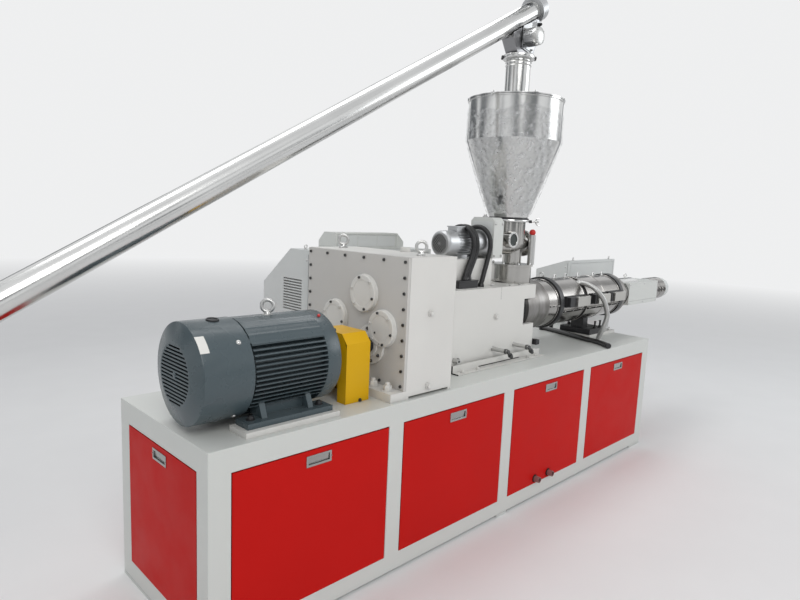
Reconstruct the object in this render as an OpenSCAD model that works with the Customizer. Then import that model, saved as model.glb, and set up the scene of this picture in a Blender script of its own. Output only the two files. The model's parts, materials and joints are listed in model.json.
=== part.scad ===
// Conical twin-screw plastic extruder: bed with lift-out doors, drive motor, gearbox,
// screw housing, heated barrel, die, dosing feeder, hopper and inclined screw loader.
// X runs along the machine towards the die, Z is up. The origin is the middle of the bed on the floor.

/* [Bed] */
// Length of the bed
bed_l = 3210; // [2900:10:3500]
// Width of the bed
bed_w = 720; // [700:10:820]
// Height of the bed's top face above the floor
bed_h = 740; // [680:10:800]
// Thickness of the plate that closes the bed's top
top_t = 16; // [10:1:25]
// Width of the posts between the doors
post_w = 82; // [60:1:110]
// Depth of the side frames' bars
frame_d = 60; // [45:1:80]
// Height of the bars under the bed
pad_h = 12; // [8:1:30]
// Length of the floor bars at the bed's ends
pad_l = 150; // [80:5:200]

/* [Doors] */
// Height of the doors' lower edge above the floor
door_z = 87; // [80:1:120]
// Distance from the doors' upper edge to the bed's top face
door_drop = 86; // [75:1:120]
// Depth of a folded door panel
door_t = 20; // [15:1:30]
// Sheet thickness of the folded panels
sheet_t = 2; // [1:0.5:3]
// Gap around each door
door_gap = 3; // [2:0.5:6]
// Distance from an end door to the bed's side face
end_post_w = 78; // [70:1:110]
// Width of a flush pull
pull_w = 112; // [80:1:140]
// Height of a flush pull
pull_h = 42; // [30:1:60]
// Depth of the cup of a flush pull
pull_d = 15; // [10:1:17]
// Distance from a door's upper edge to the middle of its pull
pull_drop = 43; // [35:1:80]
// Outer radius of the water pipes at the third door
stub_r = 16; // [10:1:20]
// How far the water pipes stand out of the door
stub_out = 32; // [15:1:60]
// Distance between the water pipes
stub_pitch = 130; // [80:1:200]
// Distance from the third door's left edge to the first water pipe
stub_x = 251; // [120:1:400]
// Height of the water pipes' middle above the door's lower edge
stub_up = 28; // [24:1:60]

/* [Drive motor] */
// Height of the motor's shaft above its feet
motor_h = 180; // [176:1:200]
// Distance from the machine's centre plane to the motor's shaft
motor_off = 130; // [110:1:140]
// Outer radius of the fan cowl
cowl_r = 178; // [172:1:180]
// Length of the fan cowl
cowl_l = 205; // [180:1:240]
// Wall of the fan cowl
cowl_t = 3; // [2:0.5:5]
// Rounding of the fan cowl's rear edge
cowl_round = 26; // [10:1:35]
// Number of slots in the cowl's grille
slot_n = 14; // [8:1:18]
// Distance between the grille's slots
slot_pitch = 15; // [12:0.5:18]
// Height of a grille slot
slot_h = 8; // [5:0.5:9]
// Radius of the motor's finned core
core_r = 150; // [140:1:156]
// Length of the finned body
body_l = 315; // [300:5:360]
// Thickness of a fin
fin_t = 5; // [4:0.5:8]
// Distance between fins
fin_pitch = 17; // [14:0.5:22]
// Number of fins above and below the shaft on each side
fin_n = 7; // [4:1:7]
// Length of the end shield
shield_l = 80; // [70:1:100]
// Length of the feet along the motor
foot_l = 358; // [330:1:380]
// Distance over the feet
foot_span = 355; // [340:1:380]
// Width of one foot
foot_w = 84; // [70:1:100]
// Thickness of a foot
foot_t = 20; // [15:1:26]
// Thickness of the rails under the motor
rail_t = 20; // [12:1:30]
// Width of a rail under the motor
rail_w = 112; // [100:1:125]
// Length of the rails under the motor
rail_l = 396; // [380:1:440]
// Distance from the bed's end to the fan cowl
motor_x = 15; // [5:1:40]

/* [Coupling] */
// Length of the coupling guard along the machine
guard_l = 122; // [100:1:130]
// Width of the coupling guard
guard_w = 220; // [200:1:240]
// Height of the coupling guard above the bed
guard_h = 305; // [290:1:330]
// Chamfer at the guard's upper edges
guard_c = 55; // [35:1:70]
// Outer radius of the coupling hubs
hub_r = 72; // [60:1:80]
// Radius of the motor's shaft
shaft_r = 24; // [20:1:28]

/* [Gearbox] */
// Distance from the bed's end to the gearbox cover's face
gear_x = 875; // [860:5:920]
// Length of the gearbox, its cover included
gear_l = 297; // [270:1:320]
// Width of the gearbox
gear_w = 676; // [640:1:690]
// Height of the gearbox above the bed
gear_h = 590; // [560:5:640]
// Thickness of the gearbox cover
cover_t = 14; // [10:1:20]
// Thickness of the gearbox's base flange
flange_t = 36; // [25:1:45]
// How far the base flange stands out behind the gearbox
flange_out = 74; // [60:1:80]
// Radius of the upper bearing caps
cap_r = 63; // [50:1:66]
// Thickness of the bearing caps
cap_t = 12; // [8:1:18]
// Radius of the input shaft's bearing cap
input_cap_r = 40; // [36:1:42]

/* [Screw housing] */
// Length of the screw housing in front of the gearbox
house_l = 913; // [880:1:960]
// Width of the screw housing
house_w = 320; // [300:2:340]
// Height of the screw housing's deck above the bed
deck_h = 405; // [395:1:430]
// Length of the open end that takes the barrel
mouth_l = 105; // [90:1:130]
// Height of the screws' axis above the bed
axis_h = 260; // [250:1:275]
// Height of the open end's side windows
mouth_h = 144; // [120:1:170]
// Length of the slotted angles beside the housing
angle_l = 722; // [600:2:760]
// Width of the angles' foot
angle_w = 43; // [30:1:60]
// Height of the angles' upright leg
angle_h = 41; // [30:1:60]
// Thickness of the angles
angle_t = 5; // [4:1:8]
// Gap between the housing and the angles
angle_gap = 22; // [15:1:60]
// Length of the slot in the upright leg
slot_l = 365; // [200:5:420]
// Height of that slot
slot_w = 6; // [4:1:10]
// Radius of the oil pipes at the housing
oil_r = 7; // [5:1:10]
// How far the oil pipes stand out of the housing
oil_out = 102; // [80:1:130]
// Height of the oil pipes above the bed
oil_h = 81; // [60:1:100]

/* [Barrel] */
// Radius of the barrel's rear collar
collar_r = 152; // [140:1:155]
// Radius of the barrel under the heaters
barrel_r = 118; // [100:1:125]
// Radius of the barrel at the die
nose_r = 104; // [90:1:112]
// Length from the housing's mouth to the barrel's front flange
barrel_l = 1275; // [1200:5:1400]
// Outer radius of the first heater band
band_r = 146; // [135:1:150]
// Outer radius of the heater covers
zone_r = 145; // [138:1:150]
// Wall of the heater covers
zone_t = 16; // [8:1:20]
// Outer radius of the black rings between the heaters
ring_r = 158; // [150:1:165]
// Length of the second heater's cover
zone_l1 = 268; // [220:2:290]
// Length of the front ring
nose_ring_l = 70; // [50:1:90]
// Length of the terminal boxes
tbox_l = 150; // [120:1:165]
// Height of the terminal boxes
tbox_h = 56; // [40:1:70]
// Length of the block under the barrel
block_l = 210; // [150:5:220]
// Width of the block under the barrel
block_w = 224; // [180:2:260]
// Height of the block under the barrel
block_h = 37; // [25:1:45]
// Length of the planed plate that the block stands on
plate_l = 360; // [300:5:400]
// Thickness of that plate
plate_t = 20; // [12:1:24]
// Length of the saddle on the block
saddle_l = 60; // [40:2:100]

/* [Die] */
// Radius of the round adapter
adapter_r = 104; // [96:1:112]
// Length of the round adapter
adapter_l = 275; // [250:1:330]
// Length of the die's cover
die_l = 485; // [430:5:520]
// Wall of the die's cover beside the adapter
die_wall = 4; // [3:0.5:12]
// Height of the die's cover
die_h = 160; // [140:1:190]
// Radius of the die head
head_r = 84; // [70:1:92]
// Length of the die head in front of the cover
head_l = 300; // [220:5:380]
// Radius of the die's outlet
outlet_r = 30; // [20:1:36]
// Depth of the outlet's counterbore
outlet_d = 60; // [40:1:90]
// Pitch circle of the bolts in the die's face
die_pcd = 124; // [110:1:128]
// Number of bolts in the die's face
die_bolt_n = 6; // [4:1:8]
// Radius of the bolt holes in the die's face
die_bolt_r = 5.5; // [4:0.5:7]

/* [Feeder] */
// Distance from the bed's end to the hopper's axis
hopper_x = 2000; // [1960:5:2030]
// Height of the feeder's screw above the deck
feed_h = 221; // [215:1:240]
// Radius of the feeder's motor
fmotor_r = 66; // [55:1:70]
// Length of the feeder's motor
fmotor_l = 337; // [300:1:350]
// Length of the feeder's chain case
case_l = 85; // [70:1:100]
// Width of the feeder's chain case
case_w = 158; // [150:1:180]
// Height of the feeder's chain case
case_h = 217; // [195:1:225]
// Chamfer at the chain case's upper corners
case_c = 20; // [12:1:40]
// Radius of the screw tube under the hopper
feed_r = 62; // [50:1:66]
// Radius of the throat under the hopper
throat_r = 98; // [85:1:105]
// Distance from the hopper's axis to the middle of the drum
drum_off = 60; // [40:1:80]
// Radius of the drum that carries the feeder
drum_r = 122; // [110:1:128]
// Radius of the black hoses
hose_r = 13; // [9:1:14]
// Radius of the braided conduit
conduit_r = 12; // [8:1:14]

/* [Hopper] */
// Outer radius of the hopper
hopper_r = 256; // [230:1:280]
// Wall of the hopper
hopper_t = 3; // [2:0.5:5]
// Height of the hopper's cylinder
hopper_cyl = 218; // [180:2:280]
// Height of the hopper's cone
cone_h = 415; // [360:5:460]
// Outer radius of the spout on the lid
spout_r = 67; // [55:1:75]
// Height of the spout above the lid
spout_h = 223; // [150:1:240]

/* [Loader] */
// Slope of the loader's tube
loader_tilt = 29.4; // [28:0.1:31]
// Outer radius of the loader's tube
loader_r = 51; // [45:1:57]
// Height of the loader's axis above the spout's flange, over the hopper
chute_h = 214; // [200:1:240]
// Width of the chute under the loader's tube
chute_w = 76; // [60:1:90]
// How far the tube runs on past the hopper's axis
loader_over = 98; // [90:1:120]
// Radius of the gear unit at the tube's upper end
drive_r = 72; // [64:1:80]
// Radius of the loader's motor
lmotor_r = 60; // [50:1:66]
// Length of the loader's motor
lmotor_l = 270; // [220:5:320]
// Radius of the small geared motor on the chute
shaker_r = 45; // [36:1:50]
// Length of the small geared motor
shaker_l = 82; // [70:1:100]
// Height of the tube's lower end above the floor
loader_foot = 330; // [300:5:380]
// Length of the powder bin
bin_l = 640; // [560:10:760]
// Width of the powder bin
bin_w = 560; // [480:10:640]
// Height of the powder bin's rim above the floor
bin_h = 620; // [580:10:700]
// Height of the powder bin's bottom above the floor
bin_floor = 170; // [120:5:220]
// Wall of the powder bin
bin_t = 3; // [2:0.5:5]

/* [Side cabinets] */
// Length of the drive cabinet
cab_l = 860; // [700:10:1000]
// Depth of the drive cabinet
cab_w = 414; // [340:2:460]
// Height of the drive cabinet
cab_h = 1310; // [1250:5:1360]
// Distance from the bed's end to the drive cabinet
cab_x = 900; // [800:5:1000]
// Depth of the slope at a cabinet's top
cab_slope_w = 245; // [180:5:280]
// Height of the slope at a cabinet's top
cab_slope_h = 191; // [150:1:240]
// Length of the die cabinet
diecab_l = 720; // [600:10:820]
// Depth of the die cabinet
diecab_w = 280; // [250:5:340]
// Height of the die cabinet
diecab_h = 1216; // [1150:2:1260]
// Height of the slope at the die cabinet's top
diecab_slope_h = 84; // [50:1:120]
// Length of the control box on the drive cabinet
cbox_l = 598; // [500:2:640]
// Height of the control box
cbox_h = 88; // [70:1:120]
// Depth of the control box
cbox_w = 90; // [70:1:120]

/* [Hidden] */
$fn = 64;

off_white = [0.86, 0.86, 0.83];
warm_white = [0.85, 0.83, 0.79];
door_red = [0.72, 0.12, 0.10];
motor_grey = [0.25, 0.29, 0.32];
guard_yellow = [0.90, 0.70, 0.02];
bright_steel = [0.80, 0.81, 0.82];
dark_steel = [0.20, 0.20, 0.21];
black_plastic = [0.08, 0.08, 0.09];
cabinet_grey = [0.70, 0.73, 0.73];

left = -bed_l / 2;
front = -bed_w / 2;
under_top = bed_h - top_t;
door_top = bed_h - door_drop;
bays = 4;
door_w = (bed_l - (bays + 1) * post_w) / bays;
end_door_w = bed_w - 2 * end_post_w;
bay_pitch = door_w + post_w;
pull_z = door_top - pull_drop;
pull_plate = 2;
pull_clear = 1;
stub_wall = 4;
stub_hole_r = stub_r + 6;
stub_z = door_z + stub_up;
stub_l = stub_out + frame_d - door_gap;
third_door = left + post_w + 2 * bay_pitch;

motor_y = -motor_off;
motor_z = bed_h + rail_t + motor_h;
cowl_x = left + motor_x;
cowl_lap = 15;
body_x = cowl_x + cowl_l - cowl_lap;
shield_x = body_x + body_l;
shaft_x = shield_x + shield_l;
fit_gap = 0.3;
fin_r = cowl_r - cowl_t - fit_gap;
foot_x = shield_x - foot_l + 9;
cover_x = left + gear_x;
guard_x = cover_x - flange_out - 22 - guard_l;
gear_end = cover_x + gear_l;
gear_top = bed_h + gear_h;
relief_l = 248;
relief_h = 10;

house_x = gear_end;
house_end = house_x + house_l;
deck_z = bed_h + deck_h;
axis_z = bed_h + axis_h;
mouth_x = house_end - mouth_l;
angle_y = -house_w / 2 - angle_gap - angle_t;
angle_x = house_end - angle_l;
slot_in = 202;
// Distances of the oil pipes from the gearbox
oil_places = [128, 541, 733];
elbow_r = oil_r + 4;
oil_drop = [40, 0, -37];

collar_l = 165;
neck_l = 122;
neck_r = collar_r - 6;
band_l = 112;
ring_l = 40;
band_x = mouth_x + collar_l + neck_l;
first_ring_x = band_x + band_l;
zones_x = first_ring_x + ring_l;
barrel_end = mouth_x + barrel_l;
seam = 4;
gap_x = zones_x + zone_l1;
zone2_x = gap_x + ring_l;
zone_l2 = (barrel_end - nose_ring_l - zone2_x - seam) / 2;
zone3_x = zone2_x + zone_l2 + seam;
// Start, length and outer radius of each heater cover
zones = [[zones_x, zone_l1, zone_r], [zone2_x, zone_l2, zone_r], [zone3_x, zone_l2, zone_r - 5]];
support_x = zone2_x + zone_l2;

nose_l = 125;
adapter_x = barrel_end + nose_l;
die_x = adapter_x + 15;
die_w = 2 * (adapter_r + fit_gap + die_wall);
die_end = die_x + die_l;
head_end = die_end + head_l;

hop_x = left + hopper_x;
feed_z = deck_z + feed_h;
case_x = hop_x - 230;
case_z = feed_z - 76;
stand_t = 8;
drum_x = hop_x + drum_off;
drum_top = deck_z + 105;
drum_rim = 10;
throat_z = feed_z + 135;
cone_r = 108;
cone_z = throat_z + 8;
hopper_z = cone_z + cone_h;
hopper_top = hopper_z + hopper_cyl;
lid_t = 6;
spout_z = hopper_top + lid_t;
spout_wall = 2;
spout_top = spout_z + spout_h;
chute_flange = 12;
chute_top = spout_top + chute_h;
rise = tan(loader_tilt);
tube_end_x = hop_x + loader_over;
tube_foot_x = hop_x - (chute_top - loader_foot) / rise;
loader_l = (tube_end_x - tube_foot_x) / cos(loader_tilt);
loader_up = loader_over / cos(loader_tilt);
bin_x = tube_foot_x - bin_l / 2 + 210;

cab_y = max(bed_w, gear_w + 2 * fit_gap) / 2;
diecab_x = bed_l / 2;
diecab_y = cab_y - 75;
cab_left = left + cab_x;

// Radius of the hoses' loops over the motor
loop_r = fmotor_r + hose_r + 9;
gland_l = 150;
gland_h = 55;
gland_w = 35;
// Each hose: its distance from the case, its drift along the machine, and the height where it ends
hose_places = [[-174, -64, gland_h], [-147, -64, gland_h], [-37, -65, 0]];
stand_inset = 8;
// Points that the braided conduit passes, from the ring between the heaters down to the bed
conduit_route = [[0, -100, 115], [-1, -112, 115], [-2, -135, 114], [0, -160, 107], [10, -190, 91],
    [38, -215, 57], [70, -232, 12], [93, -242, -43], [102, -246, -84], [98, -240, -127],
    [93, -226, -177], [95, -208, -220], [97, -202, -246], [97, -202, 0.3 - axis_h]];
// Points that the dark conduit passes on the bed, from its gland to the bed's near edge
bed_route = [[146, 232], [146, 216], [133, 150], [97, 28], [45, -131], [19, -243], [-30, -335]];
saddle_w = 90;

// Box between two opposite corners
module span(a, b) {
    translate(a) cube(b - a);
}

// Cylinder along X from x0, around the line at y and z
module rod(x0, l, r, y, z) {
    translate([x0, y, z]) rotate([0, 90, 0]) cylinder(h = l, r = r);
}

// Solid of revolution along X: outline points are [distance along X, radius]
module turned(x0, y, z, outline) {
    translate([x0, y, z]) rotate([0, 90, 0]) rotate_extrude()
        polygon([for (p = outline) [p[1], p[0]]]);
}

// Outline in Y and Z, extruded along X from x0
module profile_x(x0, l) {
    translate([x0, 0, 0]) rotate([90, 0, 90]) linear_extrude(l) children();
}

// Point on a smooth curve through four neighbours at the share t
function curve_point(a, b, c, d, t) =
    0.5 * (2 * b + (c - a) * t + (2 * a - 5 * b + 4 * c - d) * t * t
    + (3 * b - a - 3 * c + d) * t * t * t);

// Smooth curve through the points, with some steps between neighbours
function smooth(p, steps) = concat(
    [for (i = [0 : len(p) - 2], s = [0 : steps - 1])
        curve_point(p[max(i - 1, 0)], p[i], p[i + 1], p[min(i + 2, len(p) - 1)], s / steps)],
    [p[len(p) - 1]]);

function unit(v) = v / norm(v);

// Ring of points around a curve's point, square to the curve; side is a direction across it
function ring(p, dir, side, r, sides) =
    let (u = unit(cross(dir, side)), v = unit(cross(dir, u)))
    [for (k = [0 : sides - 1]) p + r * (cos(360 * k / sides) * u + sin(360 * k / sides) * v)];

// Round tube along a smooth curve
module swept(path, r, side, sides) {
    n = len(path);
    rings = [for (i = [0 : n - 1])
        ring(path[i], path[min(i + 1, n - 1)] - path[max(i - 1, 0)], side, r, sides)];
    faces = concat(
        [[for (k = [0 : sides - 1]) k]],
        [for (i = [0 : n - 2], k = [0 : sides - 1])
            [i * sides + k, (i + 1) * sides + k,
                (i + 1) * sides + (k + 1) % sides, i * sides + (k + 1) % sides]],
        [[for (k = [0 : sides - 1]) (n - 1) * sides + sides - 1 - k]]);
    polyhedron(points = [for (q = rings, p = q) p], faces = faces, convexity = 6);
}

// Transverse bars that carry the bed on the floor
module floor_bars() {
    color(off_white) {
        for (x = [left, -post_w / 2, -left - pad_l])
            span([x, front, 0], [x + (x == -post_w / 2 ? post_w : pad_l), -front, pad_h]);
    }
}

// Long bars of the welded frame, below and above the doors on both sides
module long_rails() {
    color(off_white) for (s = [0, 1], z = [[pad_h, door_z], [door_top, under_top]])
        mirror([0, s, 0]) span([left, front, z[0]], [-left, front + frame_d, z[1]]);
}

// Bars across the bed: below and above the end doors, and at the inner posts
module cross_rails() {
    y = -front - frame_d;
    color(off_white) {
        for (s = [0, 1], z = [[pad_h, door_z], [door_top, under_top]])
            mirror([s, 0, 0]) span([left, -y, z[0]], [left + frame_d, y, z[1]]);
        for (i = [1 : bays - 1], z = [[under_top - frame_d, under_top], [pad_h, pad_h + frame_d]]) {
            x = left + post_w / 2 + i * bay_pitch;
            span([x - frame_d / 2, -y, z[0]], [x + frame_d / 2, y, z[1]]);
        }
    }
}

// Upright bars between the doors, wider at the bed's corners
module bed_posts() {
    color(off_white) for (s = [0, 1], i = [0 : bays]) mirror([0, s, 0]) {
        x = left + i * bay_pitch;
        d = (i == 0 || i == bays) ? end_post_w : frame_d;
        span([x, front, door_z], [x + post_w, front + d, door_top]);
    }
}

// Plate that closes the bed and carries the machine
module bed_top() {
    color(off_white) span([left, front, under_top], [-left, -front, bed_h]);
}

// Folded door with its face towards -Y, in the opening that starts at x, standing on the lower bar
module side_door(x) {
    difference() {
        span([x + door_gap, front, door_z],
            [x + door_w - door_gap, front + door_t, door_top - door_gap]);
        span([x + door_gap + sheet_t, front + sheet_t, door_z + sheet_t],
            [x + door_w - door_gap - sheet_t, front + door_t + 1, door_top - door_gap - sheet_t]);
        pull_hole(x + door_w / 2);
    }
}

// Cut-out for a flush pull's cup in a face at -Y
module pull_hole(x) {
    w = pull_w / 2 - 5;
    h = pull_h / 2 - 5;
    span([x - w, front - 1, pull_z - h], [x + w, front + sheet_t + 1, pull_z + h]);
}

// Folded door with its face towards -X
module end_door() {
    y = end_door_w / 2 - door_gap;
    pw = pull_w / 2 - 5;
    ph = pull_h / 2 - 5;
    difference() {
        span([left, -y, door_z], [left + door_t, y, door_top - door_gap]);
        span([left + sheet_t, -y + sheet_t, door_z + sheet_t],
            [left + door_t + 1, y - sheet_t, door_top - door_gap - sheet_t]);
        span([left - 1, -pw, pull_z - ph], [left + sheet_t + 1, pw, pull_z + ph]);
    }
}

// Lift-out doors on both sides and both ends, the third one on the near side with pipe holes
module door_panels() {
    color(door_red) {
        difference() {
            for (i = [0 : bays - 1])
                side_door(left + post_w + i * bay_pitch);
            for (k = [0, 1])
                translate([third_door + stub_x + k * stub_pitch, front - 1, stub_z])
                    rotate([-90, 0, 0]) cylinder(h = sheet_t + 2, r = stub_hole_r);
        }
        mirror([0, 1, 0]) for (i = [0 : bays - 1])
            side_door(left + post_w + i * bay_pitch);
        end_door();
        mirror([1, 0, 0]) end_door();
    }
}

// Flush pull: a thin frame on the door with a cup behind it, facing -Y at the origin
module pull() {
    w = pull_w / 2;
    h = pull_h / 2;
    cw = w - 5 - pull_clear;
    ch = h - 5 - pull_clear;
    difference() {
        union() {
            span([-w, -pull_plate, -h], [w, 0, h]);
            span([-cw, 0, -ch], [cw, pull_d, ch]);
        }
        span([-cw + 2, -pull_plate - 1, -ch + 2], [cw - 2, pull_d - 2, ch - 2]);
    }
}

module door_pulls() {
    color(bright_steel) {
        for (i = [0 : bays - 1]) {
            x = left + post_w + door_w / 2 + i * bay_pitch;
            translate([x, front, pull_z]) pull();
            if (x + pull_w / 2 < cab_left || x - pull_w / 2 > cab_left + cab_l)
                translate([x, -front, pull_z]) rotate([0, 0, 180]) pull();
        }
        translate([left, 0, pull_z]) rotate([0, 0, -90]) pull();
        translate([-left, 0, pull_z]) rotate([0, 0, 90]) pull();
    }
}

// Cooling water pipes that come out low in the third door, held in a block on the bed's lower bar
module water_pipes() {
    x = third_door + stub_x;
    side = stub_r + 10;
    color(dark_steel) difference() {
        union() {
            for (k = [0, 1])
                translate([x + k * stub_pitch, front - stub_out, stub_z])
                    rotate([-90, 0, 0]) cylinder(h = stub_l, r = stub_r);
            span([x - side, front + door_t + door_gap, door_z],
                [x + stub_pitch + side, front + frame_d - door_gap, stub_z + side]);
        }
        for (k = [0, 1])
            translate([x + k * stub_pitch, front - stub_out - 1, stub_z])
                rotate([-90, 0, 0]) cylinder(h = stub_l + 2, r = stub_r - stub_wall);
    }
}

// Planed pads on the bed: rails under the motor's feet and the plate under the barrel's support
module planed_pads() {
    y = foot_span / 2 + 22;
    x = foot_x + foot_l / 2 - rail_l / 2;
    color(warm_white) {
        for (s = [-1, 1])
            span([x, motor_y + (s < 0 ? -y : y - rail_w), bed_h],
                [x + rail_l, motor_y + (s < 0 ? -y + rail_w : y), bed_h + rail_t]);
        span([support_x - block_l / 2 + 5, -block_w / 2, bed_h],
            [support_x - block_l / 2 + plate_l, block_w / 2, bed_h + plate_t]);
    }
}

// Outline of the finned body: a round core with level fins at both sides
module fin_outline() {
    circle(r = core_r);
    intersection() {
        circle(r = fin_r);
        union() {
            for (k = [-fin_n : fin_n])
                translate([-fin_r, k * fin_pitch - fin_t / 2]) square([2 * fin_r, fin_t]);
            for (s = [-1, 1], k = [0 : 3])
                translate([s * k * fin_pitch - fin_t / 2, -fin_r]) square([fin_t, fin_r]);
            translate([-70, 0]) square([140, fin_r - 8]);
        }
    }
}

// One foot: a pad with two gussets that reach up to the core
module motor_foot() {
    outer = -foot_span / 2;
    z = -motor_h;
    span([0, outer, z], [foot_l, outer + foot_w, z + foot_t]);
    for (x = [70, foot_l - 92])
        translate([x, 0, 0]) rotate([90, 0, 90]) linear_extrude(22)
            polygon([[outer + 26, z + foot_t], [outer + foot_w + 20, z + foot_t],
                [outer + foot_w + 20, -100], [outer + 62, -78]]);
    span([70, outer + foot_w - 16, z + foot_t], [foot_l - 70, outer + foot_w, -100]);
}

module motor_body() {
    color(motor_grey) translate([0, motor_y, motor_z]) {
        profile_x(body_x, body_l) fin_outline();
        translate([foot_x, 0, 0]) motor_foot();
        translate([foot_x, 0, 0]) mirror([0, 1, 0]) motor_foot();
    }
}

// Fan cowl: a cup with a rounded rear edge and level slots
module motor_cowl() {
    r = cowl_round;
    half = slot_n * slot_pitch / 2;
    slot_reach = cowl_r - r - 20;
    color(motor_grey) difference() {
        turned(cowl_x, motor_y, motor_z, concat([[0, 0]],
            [for (a = [0 : 10 : 90]) [r - r * cos(a), cowl_r - r + r * sin(a)]],
            [[cowl_l, cowl_r], [cowl_l, cowl_r - cowl_t], [r, cowl_r - cowl_t],
                [cowl_t, cowl_r - r], [cowl_t, 0]]));
        for (k = [0 : slot_n - 1]) {
            z = -half + (k + 0.5) * slot_pitch;
            w = sqrt(slot_reach * slot_reach - z * z);
            span([cowl_x - 1, motor_y - w, motor_z + z - slot_h / 2],
                [cowl_x + cowl_t + 1, motor_y + w, motor_z + z + slot_h / 2]);
        }
    }
}

// Drive-end shield with its bearing boss
module motor_end_shield() {
    color(motor_grey) turned(shield_x, motor_y, motor_z, [[0, 0], [0, fin_r - 2], [24, fin_r - 2],
        [30, fin_r - 12], [46, 118], [62, 104], [62, 66], [shield_l, 62], [shield_l, 0]]);
}

// Terminal box on the motor's far side
module motor_terminal_box() {
    x = body_x + 90;
    color(motor_grey) {
        span([x, motor_y + fin_r - 6, motor_z - 30], [x + 150, motor_y + fin_r + 70, motor_z + 100]);
        span([x - 5, motor_y + fin_r + 70, motor_z - 35], [x + 155, motor_y + fin_r + 82, motor_z + 105]);
    }
}

// Pin coupling between the motor's shaft and the gearbox's input shaft
module coupling() {
    l = cover_x - shaft_x;
    a = guard_x - shaft_x + 8;
    b = guard_x - shaft_x + guard_l - 8;
    m = (a + b) / 2;
    color(dark_steel) turned(shaft_x, motor_y, motor_z, [[0, 0], [0, shaft_r], [14, shaft_r],
        [14, hub_r - 20], [a, hub_r - 20], [a, hub_r], [m - 3, hub_r], [m - 3, hub_r - 8],
        [m + 3, hub_r - 8], [m + 3, hub_r], [b, hub_r], [b, hub_r - 20], [l - 60, hub_r - 20],
        [l - 60, shaft_r + 8], [l, shaft_r + 8], [l, 0]]);
}

// Outline of the coupling guard, from the bed up
module guard_outline(t) {
    w = guard_w / 2 - t;
    h = guard_h - t;
    c = guard_c - 0.4 * t;
    polygon([[-w, 0], [w, 0], [w, h - c], [w - c, h], [c - w, h], [-w, h - c]]);
}

// Folded guard with a slot in each end that clears the shaft
module coupling_guard() {
    slot_r = hub_r - 10;
    color(guard_yellow) translate([0, motor_y, bed_h]) difference() {
        profile_x(guard_x, guard_l) guard_outline(0);
        difference() {
            translate([0, 0, -1]) profile_x(guard_x + sheet_t, guard_l - 2 * sheet_t)
                guard_outline(sheet_t);
            span([guard_x, -guard_w, -2], [guard_x + guard_l, guard_w, -1]);
        }
        profile_x(guard_x - 1, guard_l + 2) union() {
            translate([0, motor_z - bed_h]) circle(r = slot_r);
            translate([-slot_r, -1]) square([2 * slot_r, motor_z - bed_h + 1]);
        }
    }
}

// Gear case on its base flange, with a relief under the near and far face
module gearbox_housing() {
    w = gear_w / 2;
    color(warm_white) difference() {
        union() {
            span([cover_x + cover_t, -w, bed_h], [gear_end, w, gear_top]);
            span([cover_x - flange_out, -w, bed_h], [gear_end, w, bed_h + flange_t]);
        }
        for (s = [-1, 1])
            span([cover_x + 30, min(s * w, s * (w - 60)) - 1, bed_h - 1],
                [cover_x + 30 + relief_l, max(s * w, s * (w - 60)) + 1, bed_h + relief_h]);
    }
}

// Plate that closes the rear of the gear case
module gearbox_cover() {
    w = gear_w / 2;
    color(cabinet_grey) span([cover_x, -w + 1, bed_h + flange_t], [cover_x + cover_t, w - 1, gear_top - 1]);
}

// Round cap with a raised rim: [across, up, radius]
module bearing_cap(c) {
    turned(cover_x - cap_t, c[0], c[1], [[0, 0], [0, c[2] - 14], [-4, c[2] - 12], [-4, c[2] - 4],
        [0, c[2]], [cap_t, c[2]], [cap_t, 0]]);
}

module bearing_caps() {
    color(warm_white) {
        bearing_cap([116, axis_z + 33, cap_r - 5]);
        bearing_cap([-86, axis_z + 168, cap_r]);
        bearing_cap([-208, axis_z + 10, cap_r - 4]);
        difference() {
            bearing_cap([motor_y, motor_z, input_cap_r]);
            rod(cover_x - cap_t - 10, cap_t + 20, shaft_r + 8 + fit_gap, motor_y, motor_z);
        }
    }
}

// Lifting eye that stands at the origin
module eye(r) {
    cylinder(h = r * 0.35, r = r * 0.95);
    translate([0, 0, r * 0.3]) cylinder(h = r * 0.5, r = r * 0.5);
    translate([0, 0, r * 1.9]) rotate([90, 0, 0]) rotate_extrude()
        translate([r, 0]) circle(r = r * 0.3, $fn = 24);
}

module lifting_eyes() {
    color(bright_steel) {
        translate([body_x + 147, motor_y, motor_z + fin_r - 8]) rotate([0, 0, -40]) eye(16);
        for (s = [-1, 1])
            translate([cover_x + gear_l / 2, s * (gear_w / 2 - 76), gear_top]) rotate([0, 0, -40]) eye(22);
        translate([adapter_x + 160, 0, axis_z + adapter_r + 0.1]) rotate([0, 0, -40]) eye(10);
    }
}

// Breather on the gear case and plugs in its near face
module gearbox_fittings() {
    w = gear_w / 2;
    color(bright_steel) {
        translate([gear_end - 28, -45, gear_top]) {
            cylinder(h = 12, r = 15);
            cylinder(h = 22, r = 24);
        }
        for (p = [[gear_end - 155, 354], [gear_end - 152, 38]])
            translate([p[0], -w, bed_h + p[1]]) rotate([90, 0, 0]) {
                cylinder(h = 4, r = 15);
                translate([0, 0, 4]) cylinder(h = 10, r = 11, $fn = 6);
            }
        translate([house_x + 550, -house_w / 2, axis_z - 8]) rotate([90, 0, 0]) {
            cylinder(h = 4, r = 15);
            translate([0, 0, 4]) cylinder(h = 10, r = 11, $fn = 6);
        }
    }
}

// Cast housing between the gearbox and the barrel, open at the front for the barrel's collar
module screw_housing() {
    w = house_w / 2;
    bore = collar_r + fit_gap;
    color(warm_white) difference() {
        span([house_x, -w, bed_h], [house_end, w, deck_z]);
        span([mouth_x, -w - 1, axis_z - mouth_h / 2 - 4], [house_end + 1, w + 1, axis_z + mouth_h / 2 - 4]);
        rod(mouth_x, mouth_l + 1, bore, 0, axis_z);
    }
}

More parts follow.
